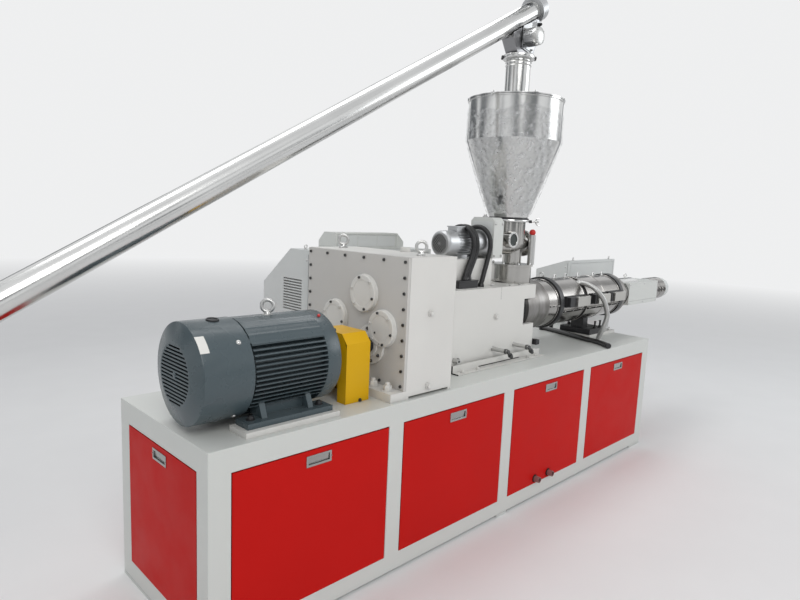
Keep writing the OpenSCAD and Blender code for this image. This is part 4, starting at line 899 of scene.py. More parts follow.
def makeTerminalBoxes(b):
    bases, boxes, screws = startShapes(3)
    middle, half = b["axis"] + b["boxRise"], b["boxHalf"]
    low, high = middle - half, middle + half
    for baseX, x0, x1, r in b["boxes"]:
        dip, face = sqrt(r * r - 0.05 ** 2), -r - b["boxOut"]
        addBox(bases, (baseX, -r - 0.014, low - 0.006), (x1 + 0.006, 0.006 - dip, high + 0.006))
        addBox(bases, (baseX + 0.004, -r - 0.038, low - 0.002), (x0 + 0.002, -r - 0.010, high + 0.002))
        addBox(boxes, (x0, face + 0.003, low), (x1, -r - 0.012, high))
        addBox(boxes, (x0 - 0.002, face, low - 0.002), (x1 + 0.002, face + 0.016, high + 0.002))
        for x, side in ((x0, -1), (x1, 1)):
            addHexBolt(screws, (x - side * 0.012, face + 0.008, high + 0.0015), (0, 0, 1), 0.008, 0.004)
            addKnob(screws, facing((x + side * 0.0015, face + 0.009, middle), (side, 0, 0)), 14,
                    0, 0, 4.5, 0, 3.5, 2, 0, 2.6)
    finishPiece("terminalBases", bases, "dark_steel", soften=0.0012, replaced=("terminal_boxes",))
    finishPiece("terminalLids", boxes, "lidSteel", "stainless", 0.001)
    finishPiece("terminalScrews", screws, "zinc_steel")


makeBarrelDetails(barrel)
makeTerminalBoxes(barrel)
print("barrel details made")


# Feeder: motor ribs and grille, case screws, throat clamp, sight glass and gate knob

feeder = dict(axisZ=1.366, motorEnd=-0.172, grille=0.047, mesh=0.0105, wire=0.0011, ribs=26,
              ribX=(-0.090, 0.012), ribIn=0.056, ribOut=0.0645, lugs=(35, 145, 215, 325), lugScrew=0.0605,
              faceX=0.0325, faceScrew=0.0665, caseX=(0.165, 0.250), caseHalf=0.079, caseZ=(1.290, 1.507),
              hopperX=0.395, throatTop=1.501, knob=(0.520, -0.086, 1.432), knobRadius=0.0182,
              glass=(0.323, -0.095, 1.390), glassScrew=0.0392, flange=(0.455, 1.2498), flangeBolt=0.112)


def makeFeederMotor(f):
    mesh, backing, ribs, screws = startShapes(4)
    x, z, r, w, rear = f["motorEnd"], f["axisZ"], f["grille"], f["wire"], (-1, 0, 0)
    addTurned(backing, facing((x - 0.0012, 0, z), rear), disc(r, 0.0006), 48)
    turn = at(x - 0.003, 0, z) @ rolled(45, "X")
    count = int(r / f["mesh"])
    for k in range(-count, count + 1):
        off = k * f["mesh"]
        reach = sqrt(r * r - off * off)
        addBox(mesh, (0, off - w, -reach), (0.0012, off + w, reach), turn)
        addBox(mesh, (0.0001, -reach, off - w), (0.0013, reach, off + w), turn)
    addKnob(mesh, facing((x - 0.0005, 0, z), rear), 64, 46, 0, 52, 0, 52, 3, 50, 4.2, 46, 4.2, 46, 0)
    addKnob(mesh, facing((x - 0.002, 0, z), rear), 20, 0, 0, 7, 0, 7, 3, 0, 3.5)
    x0, x1 = f["ribX"]
    for k in range(f["ribs"]):
        turn = at(0, 0, z) @ rolled(360 * k / f["ribs"], "X")
        addBox(ribs, (x0, -0.0014, f["ribIn"]), (x1, 0.0014, f["ribOut"]), turn)
    for angle in f["lugs"]:
        addBox(ribs, (x0 - 0.012, -0.009, 0.054), (x1 + 0.016, 0.009, 0.0665),
               at(0, 0, z) @ rolled(angle, "X"))
        addSocketScrew(screws, wheel(x0 - 0.012, 0, z, f["lugScrew"], radians(angle + 90)), rear, 0.0052,
                       0.005)
    addBox(ribs, (-0.082, -0.030, z + 0.052), (-0.006, 0.030, z + 0.084))
    addBox(ribs, (-0.086, -0.034, z + 0.083), (-0.002, 0.034, z + 0.089))
    for k in range(8):
        addHexBolt(screws, wheel(f["faceX"], 0, z, f["faceScrew"], pi * (k / 4 + 0.5) + 0.3), rear, 0.008,
                   0.004)
    finishPiece("feederGrille", mesh, "castDark", "zinc_steel")
    finishPiece("feederGrilleBack", backing, "matteBlack", "dark_steel")
    finishPiece("feederMotorRibs", ribs, "cast_alloy", soften=0.0008)
    finishPiece("feederMotorScrews", screws, "gunmetal", "dark_steel")


def makeFeederCaseDetails(f):
    case, screws = startShapes(2)
    (x0, x1), (z0, z1), y = f["caseX"], f["caseZ"], f["caseHalf"]
    for side in (-1, 1):
        for x in (x0 + 0.012, x1 - 0.012):
            for z in (z0 + 0.014, z1 - 0.034):
                addHexBolt(screws, (x, side * y, z), (0, side, 0), 0.0095, 0.005, 0.0068)
    addKnob(screws, facing(((x0 + x1) / 2 - 0.01, 0.01, z1 - 0.0005), (0, 0, 1)), 20,
            0, 0, 14, 0, 14, 5, 9, 7, 9, 14, 6, 17, 0, 17)
    addBox(case, (x0 - 0.0025, 0.012 - y, z0 + 0.012), (x0 + 0.0005, y - 0.012, z1 - 0.022))
    finishPiece("caseScrews", screws, "zinc_steel")
    finishPiece("casePlate", case, "grey_paint", soften=0.001)


def makeThroat(f):
    gasket, clamp, red, sight = startShapes(4)
    x, z, near, up = f["hopperX"], f["throatTop"], (0, -1, 0), (0, 0, 1)
    addKnob(gasket, facing((x, 0, z - 0.0006), up), 96, 106, 0, 114.5, 0, 114.5, 9, 106, 9, 106, 0)
    addKnob(clamp, facing((x, 0, z - 0.013), up), 96,
            111.5, 0, 116.5, 1, 118, 4, 118, 9, 116.5, 12.5, 111.5, 12.5, 111.5, 0)
    lug = facing((x + 0.081, -0.087, z - 0.008), (0.71, -0.70, 0))
    addBox(gasket, (-0.011, -0.008, 0), (0.011, 0.008, 0.014), lug)
    addKnob(clamp, lug, 12, 0, 12, 4.5, 12, 4.5, 52, 3, 55, 0, 55)
    addKnob(clamp, lug, 16, 0, 34, 8.5, 34, 8.5, 40, 7, 46, 0, 46)
    for side in (-1, 1):
        line = ((0.005, 0.038), (0.012, 0.040), (0.018, 0.047), (0.020, 0.056))
        addTube(clamp, smoothPath([lug @ Vector((0, side * out, rise)) for out, rise in line], 5), 0.0034, 10)
    knob, r = Vector(f["knob"]), f["knobRadius"]
    ball = [(r * sin(radians(a)), 0.019 - r * cos(radians(a))) for a in range(15, 180, 15)]
    addTurned(red, facing(knob - Vector((0, 0, 0.019)), up), [(0, 0)] + ball + [(0, 0.0374)], 28)
    addKnob(gasket, facing(knob - Vector((0, 0, 0.026)), up), 16, 0, 0, 9, 0, 9, 6, 6, 11, 0, 11)
    glass = facing(f["glass"], near)
    addKnob(clamp, glass, 64, 33, -4, 45.5, -4, 45.5, 2, 43, 4, 34, 4, 33, 3, 33, -4)
    for k in range(6):
        a = radians(60 * k + 10)
        spot = glass @ Vector((f["glassScrew"] * cos(a), f["glassScrew"] * sin(a), 0.0036))
        addSocketScrew(clamp, spot, near, 0.0038, 0.0035)
    addKnob(sight, glass, 48, 0, -5, 33.5, -5, 33.5, -1, 0, -1)
    (x, z), r = f["flange"], f["flangeBolt"]
    for k in range(8):
        a = pi * k / 4 + 0.2
        addHexBolt(clamp, (x + r * cos(a), r * sin(a), z), up, 0.013, 0.007, 0.0088)
    finishPiece("throatGasket", gasket, "dark_steel", soften=0.0008)
    finishPiece("throatClamp", clamp, "stainless", soften=0.0004)
    finishPiece("gateKnob", red, "redPlastic", "door_paint")
    finishPiece("sightGlass", sight, "sightGlass", "stainless")


makeFeederMotor(feeder)
makeFeederCaseDetails(feeder)
makeThroat(feeder)
print("feeder details made")


# Hopper: film left on it, lid clamps and the spout's clamp

hopper = dict(x=0.395, coneZ=1.509, coneRadius=0.108, topZ=1.924, radius=0.256, rimZ=2.148, away=0.0035,
              filmLow=1.515, filmHigh=2.075, around=180, rows=110, clamps=7, clampStart=-172.8,
              spoutTop=2.371, spoutRadius=0.081)


def hopperRadius(h, z):
    if z >= h["topZ"]:
        return h["radius"]
    share = max((z - h["coneZ"]) / (h["topZ"] - h["coneZ"]), -0.06)
    return h["coneRadius"] + (h["radius"] - h["coneRadius"]) * share


def filmPlace(h, a, share):  # creased film at this angle and share of its height
    c, s = cos(a), sin(a)
    high = h["filmHigh"] + 0.018 * noiseAt((c * 2.2, s * 2.2, 5)) + 0.012 * sin(3 * a + 1)
    low = h["filmLow"] + 0.02 * noiseAt((c * 3, s * 3, 9)) + 0.012
    z = low + (high - low) * share
    wall = hopperRadius(h, z)
    r = wall + h["away"]
    streak = noiseAt((c * 7, s * 7, z * 3.5))
    crease = abs(noiseAt((r * c * 16, r * s * 16, z * 11 + streak * 2)))
    swept = a * 5.2 + z * 9
    fine = abs(noiseAt((cos(swept) * 5, sin(swept) * 5, z * 14)))
    loose = 0.3 + 0.7 * sin(pi * min(max((z - 1.51) / 0.42, 0), 1))
    if z > h["topZ"] + 0.02:
        loose *= 0.35
    r += loose * (0.011 * (0.55 - crease) + 0.004 * (0.5 - fine)) + 0.0035
    r = max(r, wall + (0.0015 if share > 0.97 or share < 0.02 else 0.0012))
    return h["x"] + r * c, r * s, z


def makeFilm(h):
    film = bmesh.new()
    angles = [2 * pi * i / h["around"] for i in range(h["around"])]
    joinRings(film, [[film.verts.new(filmPlace(h, a, j / h["rows"])) for a in angles]
                     for j in range(h["rows"] + 1)])
    finishPiece("hopperFilm", film, "film", "stainless", angle=40)


def makeHopperClamps(h):
    clamps, dark = startShapes(2)
    rim, r = at(h["x"], 0, h["rimZ"]), h["radius"]
    for k in range(h["clamps"]):
        turn = rim @ rolled(h["clampStart"] + 360 / h["clamps"] * k, "Z")
        addBox(clamps, (r - 0.018, -0.006, -0.001), (r + 0.009, 0.006, 0.002), turn)
        addBox(clamps, (r + 0.0066, -0.006, -0.014), (r + 0.009, 0.006, 0.002), turn)
        addKnob(clamps, turn @ at(r - 0.012, 0, 0.002), 6, 0, 0, 6.5, 0, 6.5, 5, 3, 6, 3, 12, 0, 12)
    addKnob(dark, rim @ at(0, 0, -0.0085), 128, 261, 0, 262.8, 0.5, 262.8, 3.5, 261, 4, 261, 0)
    spout, r = at(h["x"], 0, h["spoutTop"]), h["spoutRadius"]
    addKnob(clamps, spout, 80, 80, -9, 85.5, -8, 87, -4, 87, 9, 85.5, 12.5, 80, 13.5, 80, -9)
    for angle in (135, -45):
        turn = spout @ rolled(angle, "Z")
        for side in (-0.008, 0.008):
            addBox(dark, (r + 0.002, side - 0.003, -0.008), (r + 0.013, side + 0.003, 0.011), turn)
        bolt, end = (turn @ Vector((r + 0.009, y, 0.0015)) for y in (-0.018, 0.018))
        addKnob(dark, facing(bolt, end - bolt), 6, 0, 0, 5, 0, 5, 5, 2.8, 5, 2.8, 31, 5, 31, 5, 36, 0, 36)
    finishPiece("hopperClamps", clamps, "stainless", soften=0.0005)
    finishPiece("spoutLugs", dark, "dark_steel", soften=0.001)


makeFilm(hopper)
makeHopperClamps(hopper)
print("hopper details made")


# Floor cabinets with folded doors, louvres and sunk handles, and the control console

cabinets = dict(
    each=(dict(x=(-0.705, 0.155), y=(0.360, 0.774), high=1.310, slope=(0.245, 0.191), leaves=2,
               louvreEnds=(-1, 1), louvreY=(0.428, 0.588), louvreZ=0.998, louvres=12,
               eyes=((-0.676, 0.440), (0.120, 0.440))),
          dict(x=(1.605, 2.325), y=(0.285, 0.565), high=1.216, slope=(0.252, 0.084), leaves=1,
               louvreEnds=(1,), louvreY=(0.345, 0.485), louvreZ=0.880, louvres=8,
               eyes=((1.680, 0.300), (2.250, 0.300)))),
    groove=0.004, sunk=0.005, plinth=0.090, handleZ=0.62, pitch=0.014, lean=0.6)


def addFrameGroove(cutters, low, high, flat, side, wide, deep):  # groove around a panel in the face at flat
    (x0, z0), (x1, z1) = low, high
    for left, bottom, right, top in ((x0, z0, x1, z0 + wide), (x0, z1 - wide, x1, z1),
                                     (x0, z0, x0 + wide, z1), (x1 - wide, z0, x1, z1)):
        addBox(cutters, (left, flat - side * deep, bottom), (right, flat + side * 0.01, top))


def addLeaves(cutters, dark, bright, c, common):
    (x0, x1), y, groove, z = c["x"], c["y"][1], common["groove"], common["handleZ"]
    wide = (x1 - x0 - 0.06) / c["leaves"]
    for k in range(c["leaves"]):
        left = x0 + 0.03 + wide * k
        paired = k < c["leaves"] - 1
        right = left + wide + groove * paired
        addFrameGroove(cutters, (left, common["plinth"] + 0.03), (right, c["high"] - c["slope"][1] - 0.030),
                       y, 1, groove, common["sunk"])
        x = right - 0.062 if paired else left + 0.062
        addBox(cutters, (x - 0.016, y - 0.014, z - 0.075), (x + 0.016, y + 0.01, z + 0.075))
        addBox(dark, (x - 0.0158, y - 0.015, z - 0.0748), (x + 0.0158, y - 0.0132, z + 0.0748))
        addBox(bright, (x - 0.009, y - 0.011, z - 0.066), (x + 0.009, y - 0.002, z + 0.030))
        addKnob(bright, facing((x, y - 0.0135, z + 0.048), (0, 1, 0)), 28, 0, 0, 13, 0, 13, 9, 11, 11, 0, 11)


def addLouvres(cutters, dark, bright, c, common, x, side):
    (y0, y1), back = c["louvreY"], x - side * 0.012
    for k in range(c["louvres"]):
        z = c["louvreZ"] + common["pitch"] * k
        addBox(cutters, (back, y0, z), (x + side * 0.01, y1, z + 0.007))
        # painted shade: a dark plate at the back of each louvre slot
        addBox(dark, (back, y0 + 0.0005, z + 0.0005), (back + side * 0.001, y1 - 0.0005, z + 0.0065))
        blade = at(x - side * 0.0056, 0, z + 0.0038) @ Matrix.Rotation(side * common["lean"], 4, "Y")
        addBox(bright, (-0.005, y0 + 0.0008, -0.0005), (0.005, y1 - 0.0008, 0.0005), blade)


def addCabinet(body, cutters, dark, bright, c, common):
    (x0, x1), (y0, y1), high, plinth = c["x"], c["y"], c["high"], common["plinth"]
    back, down = c["slope"]
    outline = [(y0, 0), (y1, 0), (y1, high - down), (y1 - back, high), (y0, high)]
    addPrism(body, [[(x, y, z) for y, z in outline] for x in (x0, x1)])
    addLeaves(cutters, dark, bright, c, common)
    for y in (y0, y1):
        addBox(cutters, (x0 - 0.01, y - 0.01, -0.01), (x1 + 0.01, y + 0.01, plinth))
    for x, side in ((x0, -1), (x1, 1)):
        addBox(cutters, (x - 0.01, y0 - 0.01, -0.01), (x + 0.01, y1 + 0.01, plinth))
        if side in c["louvreEnds"]:
            addLouvres(cutters, dark, bright, c, common, x, side)
        addBox(cutters, (x + side * 0.01, y0 + 0.012, plinth + 0.02),
               (x - side * 0.004, y0 + 0.015, high - 0.02))
        for z in (0.16, high * 0.5, high - 0.05):
            addKnob(bright, facing((x, y0 + 0.030, z), (side, 0, 0)), 16, 0, -2, 6.2, -2, 6.2, 0, 4, 2.2, 0,
                    2.8)
    addFrameGroove(cutters, (x0 + 0.02, plinth + 0.02), (x1 - 0.02, high - 0.02), y0, -1, 0.003, 0.003)
    for x, y in c["eyes"]:
        addKnob(bright, facing((x, y, high), (0, 0, 1)), 16, 0, 0, 10, 0, 10, 3, 5, 5, 4, 8, 0, 8)
        turns = (2 * pi * k / 28 for k in range(29))
        addTube(bright, [Vector((x + 0.008 * cos(t), y, high + 0.0145 + 0.008 * sin(t))) for t in turns],
                0.0026, 10)


def makeCabinets(c):
    shells, dark, bright = startShapes(3)
    for cabinet in c["each"]:
        body, cutters = startShapes(2)
        addCabinet(body, cutters, dark, bright, cabinet, c)
        cutShape(body, cutters, shells)
    finishPiece("floorCabinets", shells, "grey_paint", soften=0.0008, replaced=("side_cabinets",))
    finishPiece("cabinetBacks", dark, "dark_steel")
    finishPiece("cabinetTrims", bright, "zinc_steel")


console = dict(x=(-0.529, -0.044), y=(0.390, 0.532), z=(1.310, 1.398), chamfer=(0.050, 0.046), panels=3,
               panelStep=0.136)


def makeConsole(c):
    shell, panel, cutters = startShapes(3)
    (x0, x1), (y0, y1), (z0, z1) = c["x"], c["y"], c["z"]
    wide, tall = c["chamfer"]
    spots = [(x, y, z0) for x in (x0, x1) for y in (y0, y1)]
    spots += [(x0, y0, z1), (x0, y1 - tall, z1), (x0, y1, z1 - tall), (x1 - wide, y0, z1),
              (x1 - wide, y1 - tall, z1), (x1, y0, z1 - tall), (x1, y1 - tall, z1 - tall),
              (x1 - wide, y1, z1 - tall)]
    hull = bmesh.ops.convex_hull(shell, input=[shell.verts.new(p) for p in spots])
    spare = [v for v in hull["geom_interior"] if isinstance(v, bmesh.types.BMVert)]
    bmesh.ops.delete(shell, geom=spare, context="VERTS")
    addBox(cutters, (x0 + 0.012, y0 - 0.01, z0 + 0.012), (x1 - wide - 0.004, y0 + 0.004, z1 - 0.010))
    for k in range(c["panels"]):
        left = x0 + 0.016 + k * c["panelStep"]
        right = left + c["panelStep"] - 0.004
        addBox(panel, (left, y0 + 0.003, z0 + 0.015), (right, y0 + 0.0052, z1 - 0.013))
    finishPiece("controlConsole", cutShape(shell, cutters), "bed_paint", soften=0.001,
                replaced=("control_box",))
    finishPiece("consolePanels", panel, "grey_paint", soften=0.0006)


makeCabinets(cabinets)
makeConsole(console)
print("cabinets made")


# Chute, loader, bin and stand

loader = dict(hopperX=0.395, axisZ=2.585, tilt=29.4, gearStart=0.1125, gearMiddle=0.1495, ribFrom=0.092,
              ribTo=0.264, ribIn=0.058, ribOut=0.0628, ribs=28, face=0.038, grille=0.040, mesh=0.0088,
              seam=((0.358, 2.540), (0.357, 2.478), (0.355, 2.413), (0.464, 2.393)),
              plate=((0.364, 2.528), (0.364, 2.426), (0.456, 2.404), (0.492, 2.474), (0.502, 2.592)),
              plateBolts=((0.376, 2.512), (0.376, 2.440), (0.484, 2.490), (0.492, 2.568), (0.446, 2.418)),
              shaker=(0.398, -0.120, 2.470), shakerScrew=0.037, gland=(0.398, -0.112, 2.526),
              binX=(-4.037, -3.397), binHalf=0.28, binTop=0.620, lipOut=0.0158, lipThick=0.0025)


def spunTo(turn, axis):  # turned about local Z until local X points along axis
    aim = turn.to_3x3().transposed() @ Vector(axis)
    return turn @ Matrix.Rotation(atan2(aim.y, aim.x), 4, "Z")


def makeChute(c):
    seam, plate, bolts, cap = startShapes(4)
    near = (0, -1, 0)
    for side in (-1, 1):
        flat = c["face"] * side
        for (x0, z0), (x1, z1) in zip(c["seam"], c["seam"][1:]):
            run = Vector((x1 - x0, 0, z1 - z0))
            turn = spunTo(facing((x0, flat, z0), run), (0, 1, 0))
            addBox(seam, (-0.0016, -0.0022, -0.001), (0.0016, 0.0022, run.length + 0.001), turn)
        addPrism(plate, [[(x, flat + side * out, z) for x, z in c["plate"]] for out in (-0.001, 0.003)])
        for x, z in c["plateBolts"]:
            addHexBolt(bolts, (x, flat + side * 0.003, z), (0, side, 0), 0.0105, 0.006, 0.0075, 0.003)
    x, y, z = c["shaker"]
    turn = facing(c["shaker"], near)
    addKnob(cap, turn, 56, 44, -16, 46.2, -16, 46.2, -2, 43, 5, 32, 9, 16, 11, 0, 11.5)
    for k in range(16):
        addBox(cap, (0.044, -0.0014, -0.068), (0.0475, 0.0014, -0.018), turn @ rolled(360 * k / 16, "Z"))
    for k in range(4):
        a = radians(45 + 90 * k)
        spot = (x + c["shakerScrew"] * cos(a), y - 0.0055, z + c["shakerScrew"] * sin(a))
        addSocketScrew(bolts, spot, near, 0.0035, 0.004)
    addKnob(seam, facing(c["gland"], near), 20, 0, 0, 10, 0, 10, 6, 7.5, 7, 7.5, 14, 5.5, 18, 0, 18)
    finishPiece("chuteSeam", seam, "matteBlack", "dark_steel")
    finishPiece("chutePlates", plate, "cast_alloy", soften=0.0006)
    finishPiece("chuteBolts", bolts, "zinc_steel")
    finishPiece("shakerCap", cap, "zinc_steel", soften=0.0004)


def makeLoaderDetails(c):
    ribs, bolts, dark, lips = startShapes(4)
    along = at(c["hopperX"], 0, c["axisZ"]) @ rolled(-c["tilt"], "Y")
    drive = along @ at(c["gearMiddle"], 0, 0)
    for k in range(c["ribs"]):
        turn = drive @ rolled(360 * k / c["ribs"], "Z")
        addBox(ribs, (c["ribIn"], -0.0013, c["ribFrom"]), (c["ribOut"], 0.0013, c["ribTo"]), turn)
    addBox(ribs, (-0.034, -0.104, 0.118), (0.034, -0.056, 0.196), drive)
    addBox(ribs, (-0.037, -0.109, 0.115), (0.037, -0.101, 0.199), drive)
    addTurned(dark, drive @ at(0, 0, 0.3378), disc(c["grille"], 0.0006), 40)
    for k in range(-4, 5):
        off = c["mesh"] * k
        reach = sqrt(c["grille"] ** 2 - off ** 2)
        addBox(ribs, (off - 0.001, -reach, 0.338), (off + 0.001, reach, 0.3392), drive)
        addBox(ribs, (-reach, off - 0.001, 0.3381), (reach, off + 0.001, 0.3391), drive)
    for k in range(8):
        a = pi * (k + 0.5) / 4
        spot = drive @ Vector((0.066 * cos(a), 0.066 * sin(a), 0.084))
        addHexBolt(bolts, spot, drive.col[2].to_3d(), 0.010, 0.006, 0.0066)
        spot = along @ wheel(c["gearStart"] + 0.014, 0, 0, 0.0695, a)
        addHexBolt(bolts, spot, along.col[0].to_3d(), 0.009, 0.005)
    (x0, x1), w, top, out, thick = c["binX"], c["binHalf"], c["binTop"], c["lipOut"], c["lipThick"]
    entry = along @ rolled(90, "Y") @ at(0, 0, (x1 - c["hopperX"]) / cos(radians(c["tilt"])))
    addKnob(dark, entry @ at(0, 0, -0.012), 56, 51.2, 0, 66, 1, 66, 6, 58, 10, 56, 30, 51.2, 32, 51.2, 0)
    addTurned(lips, entry @ at(0, 0, 0.030), band(0.0512, 0.0535, 0.010), 56)
    for x in (x0 - out, x1 + out - thick):
        addBox(lips, (x, -w - out, top - 0.022), (x + thick, w + out, top - 0.0005))
    for y in (-w - out, w + out - thick):
        addBox(lips, (x0 - out, y, top - 0.022), (x1 + out, y + thick, top - 0.0005))
    for x, sx in ((x0, -1), (x1, 1)):
        for sy in (-1, 1):
            spot = (x + sx * 0.0065, sy * (w + 0.0065), 0.008)
            addHexBolt(bolts, spot, (0, 0, 1), 0.013, 0.007, 0.0082, 0.004)
            for spot, axis in (((x - sx * 0.02, sy * w, 0.190), (0, sy, 0)),
                               ((x, sy * (w - 0.03), 0.190), (sx, 0, 0))):
                addKnob(bolts, facing(spot, axis), 16, 0, 0, 8, 0, 7, 3, 0, 4.5)
    finishPiece("loaderMotorRibs", ribs, "grey_paint", soften=0.0006)
    finishPiece("loaderBolts", bolts, "zinc_steel")
    finishPiece("loaderSeals", dark, "dark_steel", soften=0.0006)
    finishPiece("binLips", lips, "stainless", soften=0.0006)


makeChute(loader)
makeLoaderDetails(loader)
print("loader details made")


# Die, barrel support and deck fixings

die = dict(axis=1.0, coverX=(1.790, 2.275), coverHalf=(0.108, 0.08), headRadius=0.084, bandX=(2.300, 2.505),
           bands=2, bandGap=0.006,
           bolts=(((1.349, 1.424), 0.088, 0.797, (0.019, 0.010, 0.0125, 0.008)),
                  ((1.490, 1.575), 0.085, 0.760, (0.019, 0.011, 0.0125, 0.006)),
                  ((-0.105, 0.155), 0.095, 1.1452, (0.014, 0.008, 0.010))),
           posts=(1.335, 1.405), postY=0.098, postZ=0.796, deckScrews=(-0.40, -0.20, 0.255, 0.345),
           deckY=0.142, deckZ=1.145, deckSeam=((0.1545, -0.1604, 1.080), (0.1553, -0.1598, 1.1452)))


def addBand(rings, dark, bolts, d, left, right):
    axis, r, long = d["axis"], d["headRadius"], right - left
    profile = [(r - 0.001, 0), (r + 0.003, 0.0005), (r + 0.003, long - 0.0005), (r - 0.001, long),
               (r - 0.001, 0)]
    addTurned(rings, facing((left, 0, axis), (1, 0, 0)), profile, 96)
    for side in (-1, 1):
        y = side * (r + 0.0032)
        addBox(dark, (left + 0.001, y - 0.0012, axis - 0.004), (right - 0.001, y + 0.0012, axis + 0.004))
        y = side * (r + 0.003)
        for x in (left + 0.02, right - 0.02):
            for low, high in ((0.004, 0.016), (-0.016, -0.004)):
                addBox(rings, (x - 0.007, y - 0.006, axis + low), (x + 0.007, y + 0.006, axis + high))
            addHexBolt(bolts, (x, y + side * 0.002, axis + 0.016), (0, 0, 1), 0.008, 0.005)


def makeDieDetails(d):
    bolts, rings, dark = startShapes(3)
    (x0, x1), (y, z), axis, up = d["coverX"], d["coverHalf"], d["axis"], (0, 0, 1)
    for side in (-1, 1):
        for x in (x0 + 0.016, (x0 + x1) / 2, x1 - 0.016):
            for rise in (0.014 - z, z - 0.014):
                addKnob(bolts, facing((x, side * y, axis + rise), (0, side, 0)), 16,
                        0, -1, 6, -1, 6, 0.6, 4, 2.6, 0, 3.2)
        addBox(dark, (x0, side * y - 0.0004, axis - z + 0.0265), (x1, side * y + 0.0004, axis - z + 0.0275))
    x0, x1 = d["bandX"]
    for k in range(d["bands"]):
        left, right = (x0 + (x1 - x0) * n / d["bands"] for n in (k, k + 1))
        addBand(rings, dark, bolts, d, left, right - d["bandGap"])
    for side in (-1, 1):
        for places, y, z, size in d["bolts"]:
            for x in places:
                addHexBolt(bolts, (x, side * y, z), up, *size)
        for x in d["posts"]:
            addKnob(dark, facing((x, side * d["postY"], d["postZ"]), up), 16,
                    0, 0, 10, 0, 10, 12, 6, 16, 6, 40, 9, 44, 4, 50, 0, 50)
        for x in d["deckScrews"]:
            addSocketScrew(bolts, (x, side * d["deckY"], d["deckZ"]), up, 0.007, 0.006)
    addBox(dark, *d["deckSeam"])
    finishPiece("dieBands", rings, "darkReflectionSteel", "stainless", 0.0004)
    finishPiece("fixings", bolts, "zinc_steel")
    finishPiece("darkTrims", dark, "dark_steel")


makeDieDetails(die)
print("die and fixings made")


# The motor's smooth top panel, the water pipes' dark rings and the block at the housing's foot

trims = dict(panelX=(-1.3997, -1.0965), panelAngles=(36, 144), panelRadius=0.1749, panelDepth=0.006,
             ridge=0.0013, ridges=9, rows=108, lug=(0.030, 0.009, 0.0035), stubX=(0.292, 0.422), stubZ=0.115,
             stubRadius=0.0155, stubEnds=((-0.3642, 0.0178), (-0.3388, 0.0212)),
             block=((0.490, -0.182, 0.797), (0.524, -0.130, 0.825)))


def makeTrims(t):
    panel, stubs, block = startShapes(3)
    (x0, x1), (low, high), r, rows = t["panelX"], t["panelAngles"], t["panelRadius"], t["rows"]
    lines = []
    for k in range(rows + 1):
        outer = r + max(0, cos(2 * pi * t["ridges"] * k / rows)) ** 2 * t["ridge"]
        inner = r - t["panelDepth"]
        lines.append([panel.verts.new(aroundMotor(x, low + (high - low) * k / rows, radius))
                      for x, radius in ((x0, inner), (x0, outer), (x1, outer), (x1, inner))])
    joinRings(panel, lines)
    panel.faces.new(lines[0])
    panel.faces.new(lines[-1])
    along, across, up = t["lug"]
    for angle in motor["cowlScrews"]:
        turn = spunTo(offMotor(x0 - along + 0.002, angle, r - up), (1, 0, 0))
        addBox(panel, (-along, -across, -up * 2), (along, across, up * 0.9), turn)
    for x in t["stubX"]:
        for y, radius in t["stubEnds"]:
            addTurned(stubs, facing((x, y, t["stubZ"]), (0, 1, 0)), band(t["stubRadius"], radius, 0.007), 32)
    bmesh.ops.remove_doubles(stubs, verts=stubs.verts, dist=0.00001)
    addBox(block, *t["block"])
    finishPiece("motorTopPanel", panel, "motor_paint", angle=40)
    finishPiece("stubRings", stubs, "dark_steel")
    finishPiece("sensorBlock", block, "dark_steel", soften=0.002)


makeTrims(trims)
print("trims made")


# Stage, lights and camera

stage = dict(floorColour=(0.80, 0.80, 0.80), floorRough=0.7, backColour=(0.86, 0.865, 0.87), fadeStart=5,
             fadeEnd=16, floorHalf=60, ambient=0.5, ambientColour=(0.95, 0.97, 1, 1), patchScale=2.2,
             patchEdge=(0.47, 0.55), roofEdge=(0.25, 0.6), hallDark=(0.16, 0.17, 0.18),
             hallLight=(0.92, 0.93, 0.94))


def mixShaders(tree, factor, first, second):
    mix = tree.nodes.new("ShaderNodeMixShader")
    fillSockets(tree, mix.inputs, (factor, first.outputs[0], second.outputs[0]))
    return mix


def makeFloor(look):
    material, tree, shader = startMaterial("floorFinish")
    colour = blendColours(tree, patches(tree, 3, 4), dimmed(look["floorColour"], 0.98), look["floorColour"])
    tree.links.new(colour, shader.inputs["Base Color"])
    shader.inputs["Roughness"].default_value = look["floorRough"]
    far = tree.nodes.new("ShaderNodeEmission")
    far.inputs["Color"].default_value = (*look["backColour"], 1)
    distance = tree.nodes.new("ShaderNodeVectorMath")
    distance.operation = "LENGTH"
    tree.links.new(objectPlace(tree), distance.inputs[0])
    fade = remap(tree, distance.outputs["Value"], 0, 1, look["fadeStart"], look["fadeEnd"])
    mix = mixShaders(tree, fade, shader, far)
    tree.links.new(mix.outputs[0], tree.nodes["Material Output"].inputs["Surface"])
    half = look["floorHalf"]
    mesh = bpy.data.meshes.new("studioFloor")
    mesh.from_pydata([(-half, -half, 0), (half, -half, 0), (half, half, 0), (-half, half, 0)], [],
                     [(0, 1, 2, 3)])
    mesh.materials.append(material)
    floor = show(bpy.data.objects.new("studioFloor", mesh))


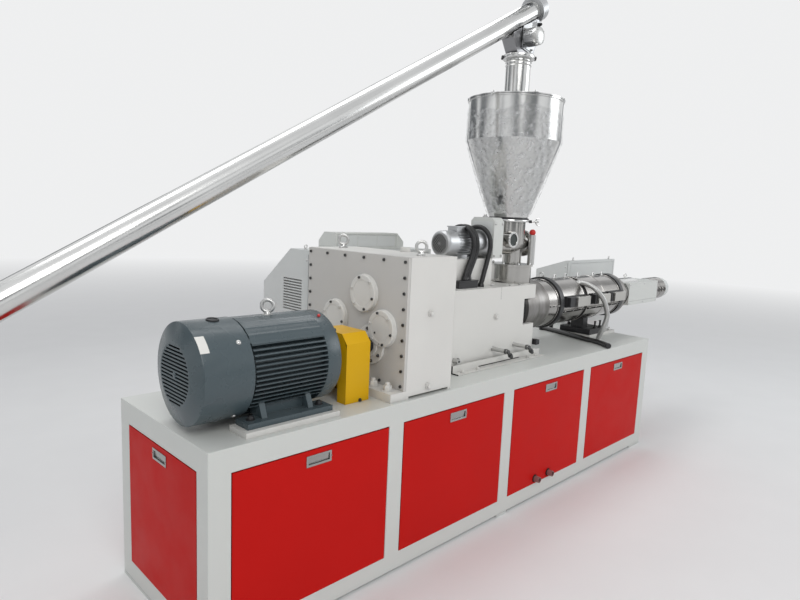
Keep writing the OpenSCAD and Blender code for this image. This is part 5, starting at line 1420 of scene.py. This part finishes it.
def makeWorld(look):  # bright backdrop for the camera, patches of light and dark for reflections
    world = bpy.data.worlds.new("studio")
    bpy.context.scene.world = world
    world.use_nodes = True
    tree = world.node_tree
    light = tree.nodes["Background"]
    light.inputs["Color"].default_value = look["ambientColour"]
    light.inputs["Strength"].default_value = look["ambient"]
    back = tree.nodes.new("ShaderNodeBackground")
    back.inputs["Color"].default_value = (*look["backColour"], 1)
    hall = tree.nodes.new("ShaderNodeBackground")
    direction = tree.nodes.new("ShaderNodeTexCoord").outputs["Generated"]
    cloud = tree.nodes.new("ShaderNodeTexNoise")
    cloud.inputs["Scale"].default_value = look["patchScale"]
    cloud.inputs["Detail"].default_value = 1
    tree.links.new(direction, cloud.inputs["Vector"])
    bright = calculate(tree, "MAXIMUM", remap(tree, cloud.outputs["Fac"], 0, 1, *look["patchEdge"]),
                       remap(tree, axes(tree, direction)["Z"], 0, 0.8, *look["roofEdge"]))
    tree.links.new(blendColours(tree, bright, look["hallDark"], look["hallLight"]), hall.inputs["Color"])
    rays = tree.nodes.new("ShaderNodeLightPath").outputs
    seen = mixShaders(tree, rays["Is Camera Ray"], mixShaders(tree, rays["Is Glossy Ray"], light, hall), back)
    tree.links.new(seen.outputs[0], tree.nodes["World Output"].inputs["Surface"])


def softbox(name, place, target, size, power, tint=(1, 1, 1)):
    lamp = bpy.data.lights.new(name, "AREA")
    lamp.shape = "RECTANGLE"
    lamp.size, lamp.size_y = size
    lamp.energy = power
    lamp.color = tint
    piece = show(bpy.data.objects.new(name, lamp))
    piece.location = place
    piece.rotation_euler = (Vector(target) - Vector(place)).to_track_quat("-Z", "Y").to_euler()


makeFloor(stage)
makeWorld(stage)
softbox("keyLight", (-3.5, -5.5, 5.5), (-0.5, 0, 0.9), (4, 3), 175, (1, 0.99, 0.97))
softbox("fillLight", (5.5, -4, 3.5), (0.5, 0, 1), (3.5, 3), 70, (0.95, 0.98, 1))
softbox("roofLight", (0, 1.5, 6), (0, 0, 1), (7, 2), 115)
softbox("endLight", (-7, 1.5, 3), (-1.5, 0, 0.8), (2.5, 3.5), 3, (0.96, 0.98, 1))

view = dict(place=(-2.453, -2.031, 1.495), yaw=44.7756, pitch=-7.9335, roll=2.4438, focalPixels=603.80,
            imageWidth=800, sensor=36, clipEnd=200)


def makeCamera(v):
    yaw, pitch, roll = (radians(v[k]) for k in ("yaw", "pitch", "roll"))
    forward = Vector((sin(yaw) * cos(pitch), cos(yaw) * cos(pitch), sin(pitch)))
    right = Vector((cos(yaw), -sin(yaw), 0))
    up = right.cross(forward)
    across = cos(roll) * right + sin(roll) * up
    upright = -sin(roll) * right + cos(roll) * up
    lens = bpy.data.cameras.new("photoCamera")
    lens.sensor_width = v["sensor"]
    lens.lens = v["focalPixels"] / v["imageWidth"] * v["sensor"]
    lens.clip_end = v["clipEnd"]
    camera = show(bpy.data.objects.new("photoCamera", lens))
    camera.matrix_world = at(*v["place"]) @ Matrix((across, upright, -forward)).transposed().to_4x4()
    bpy.context.scene.camera = camera


makeCamera(view)
bpy.context.scene.view_settings.view_transform = "Standard"
print("stage, lights and camera set")


print("scene built")
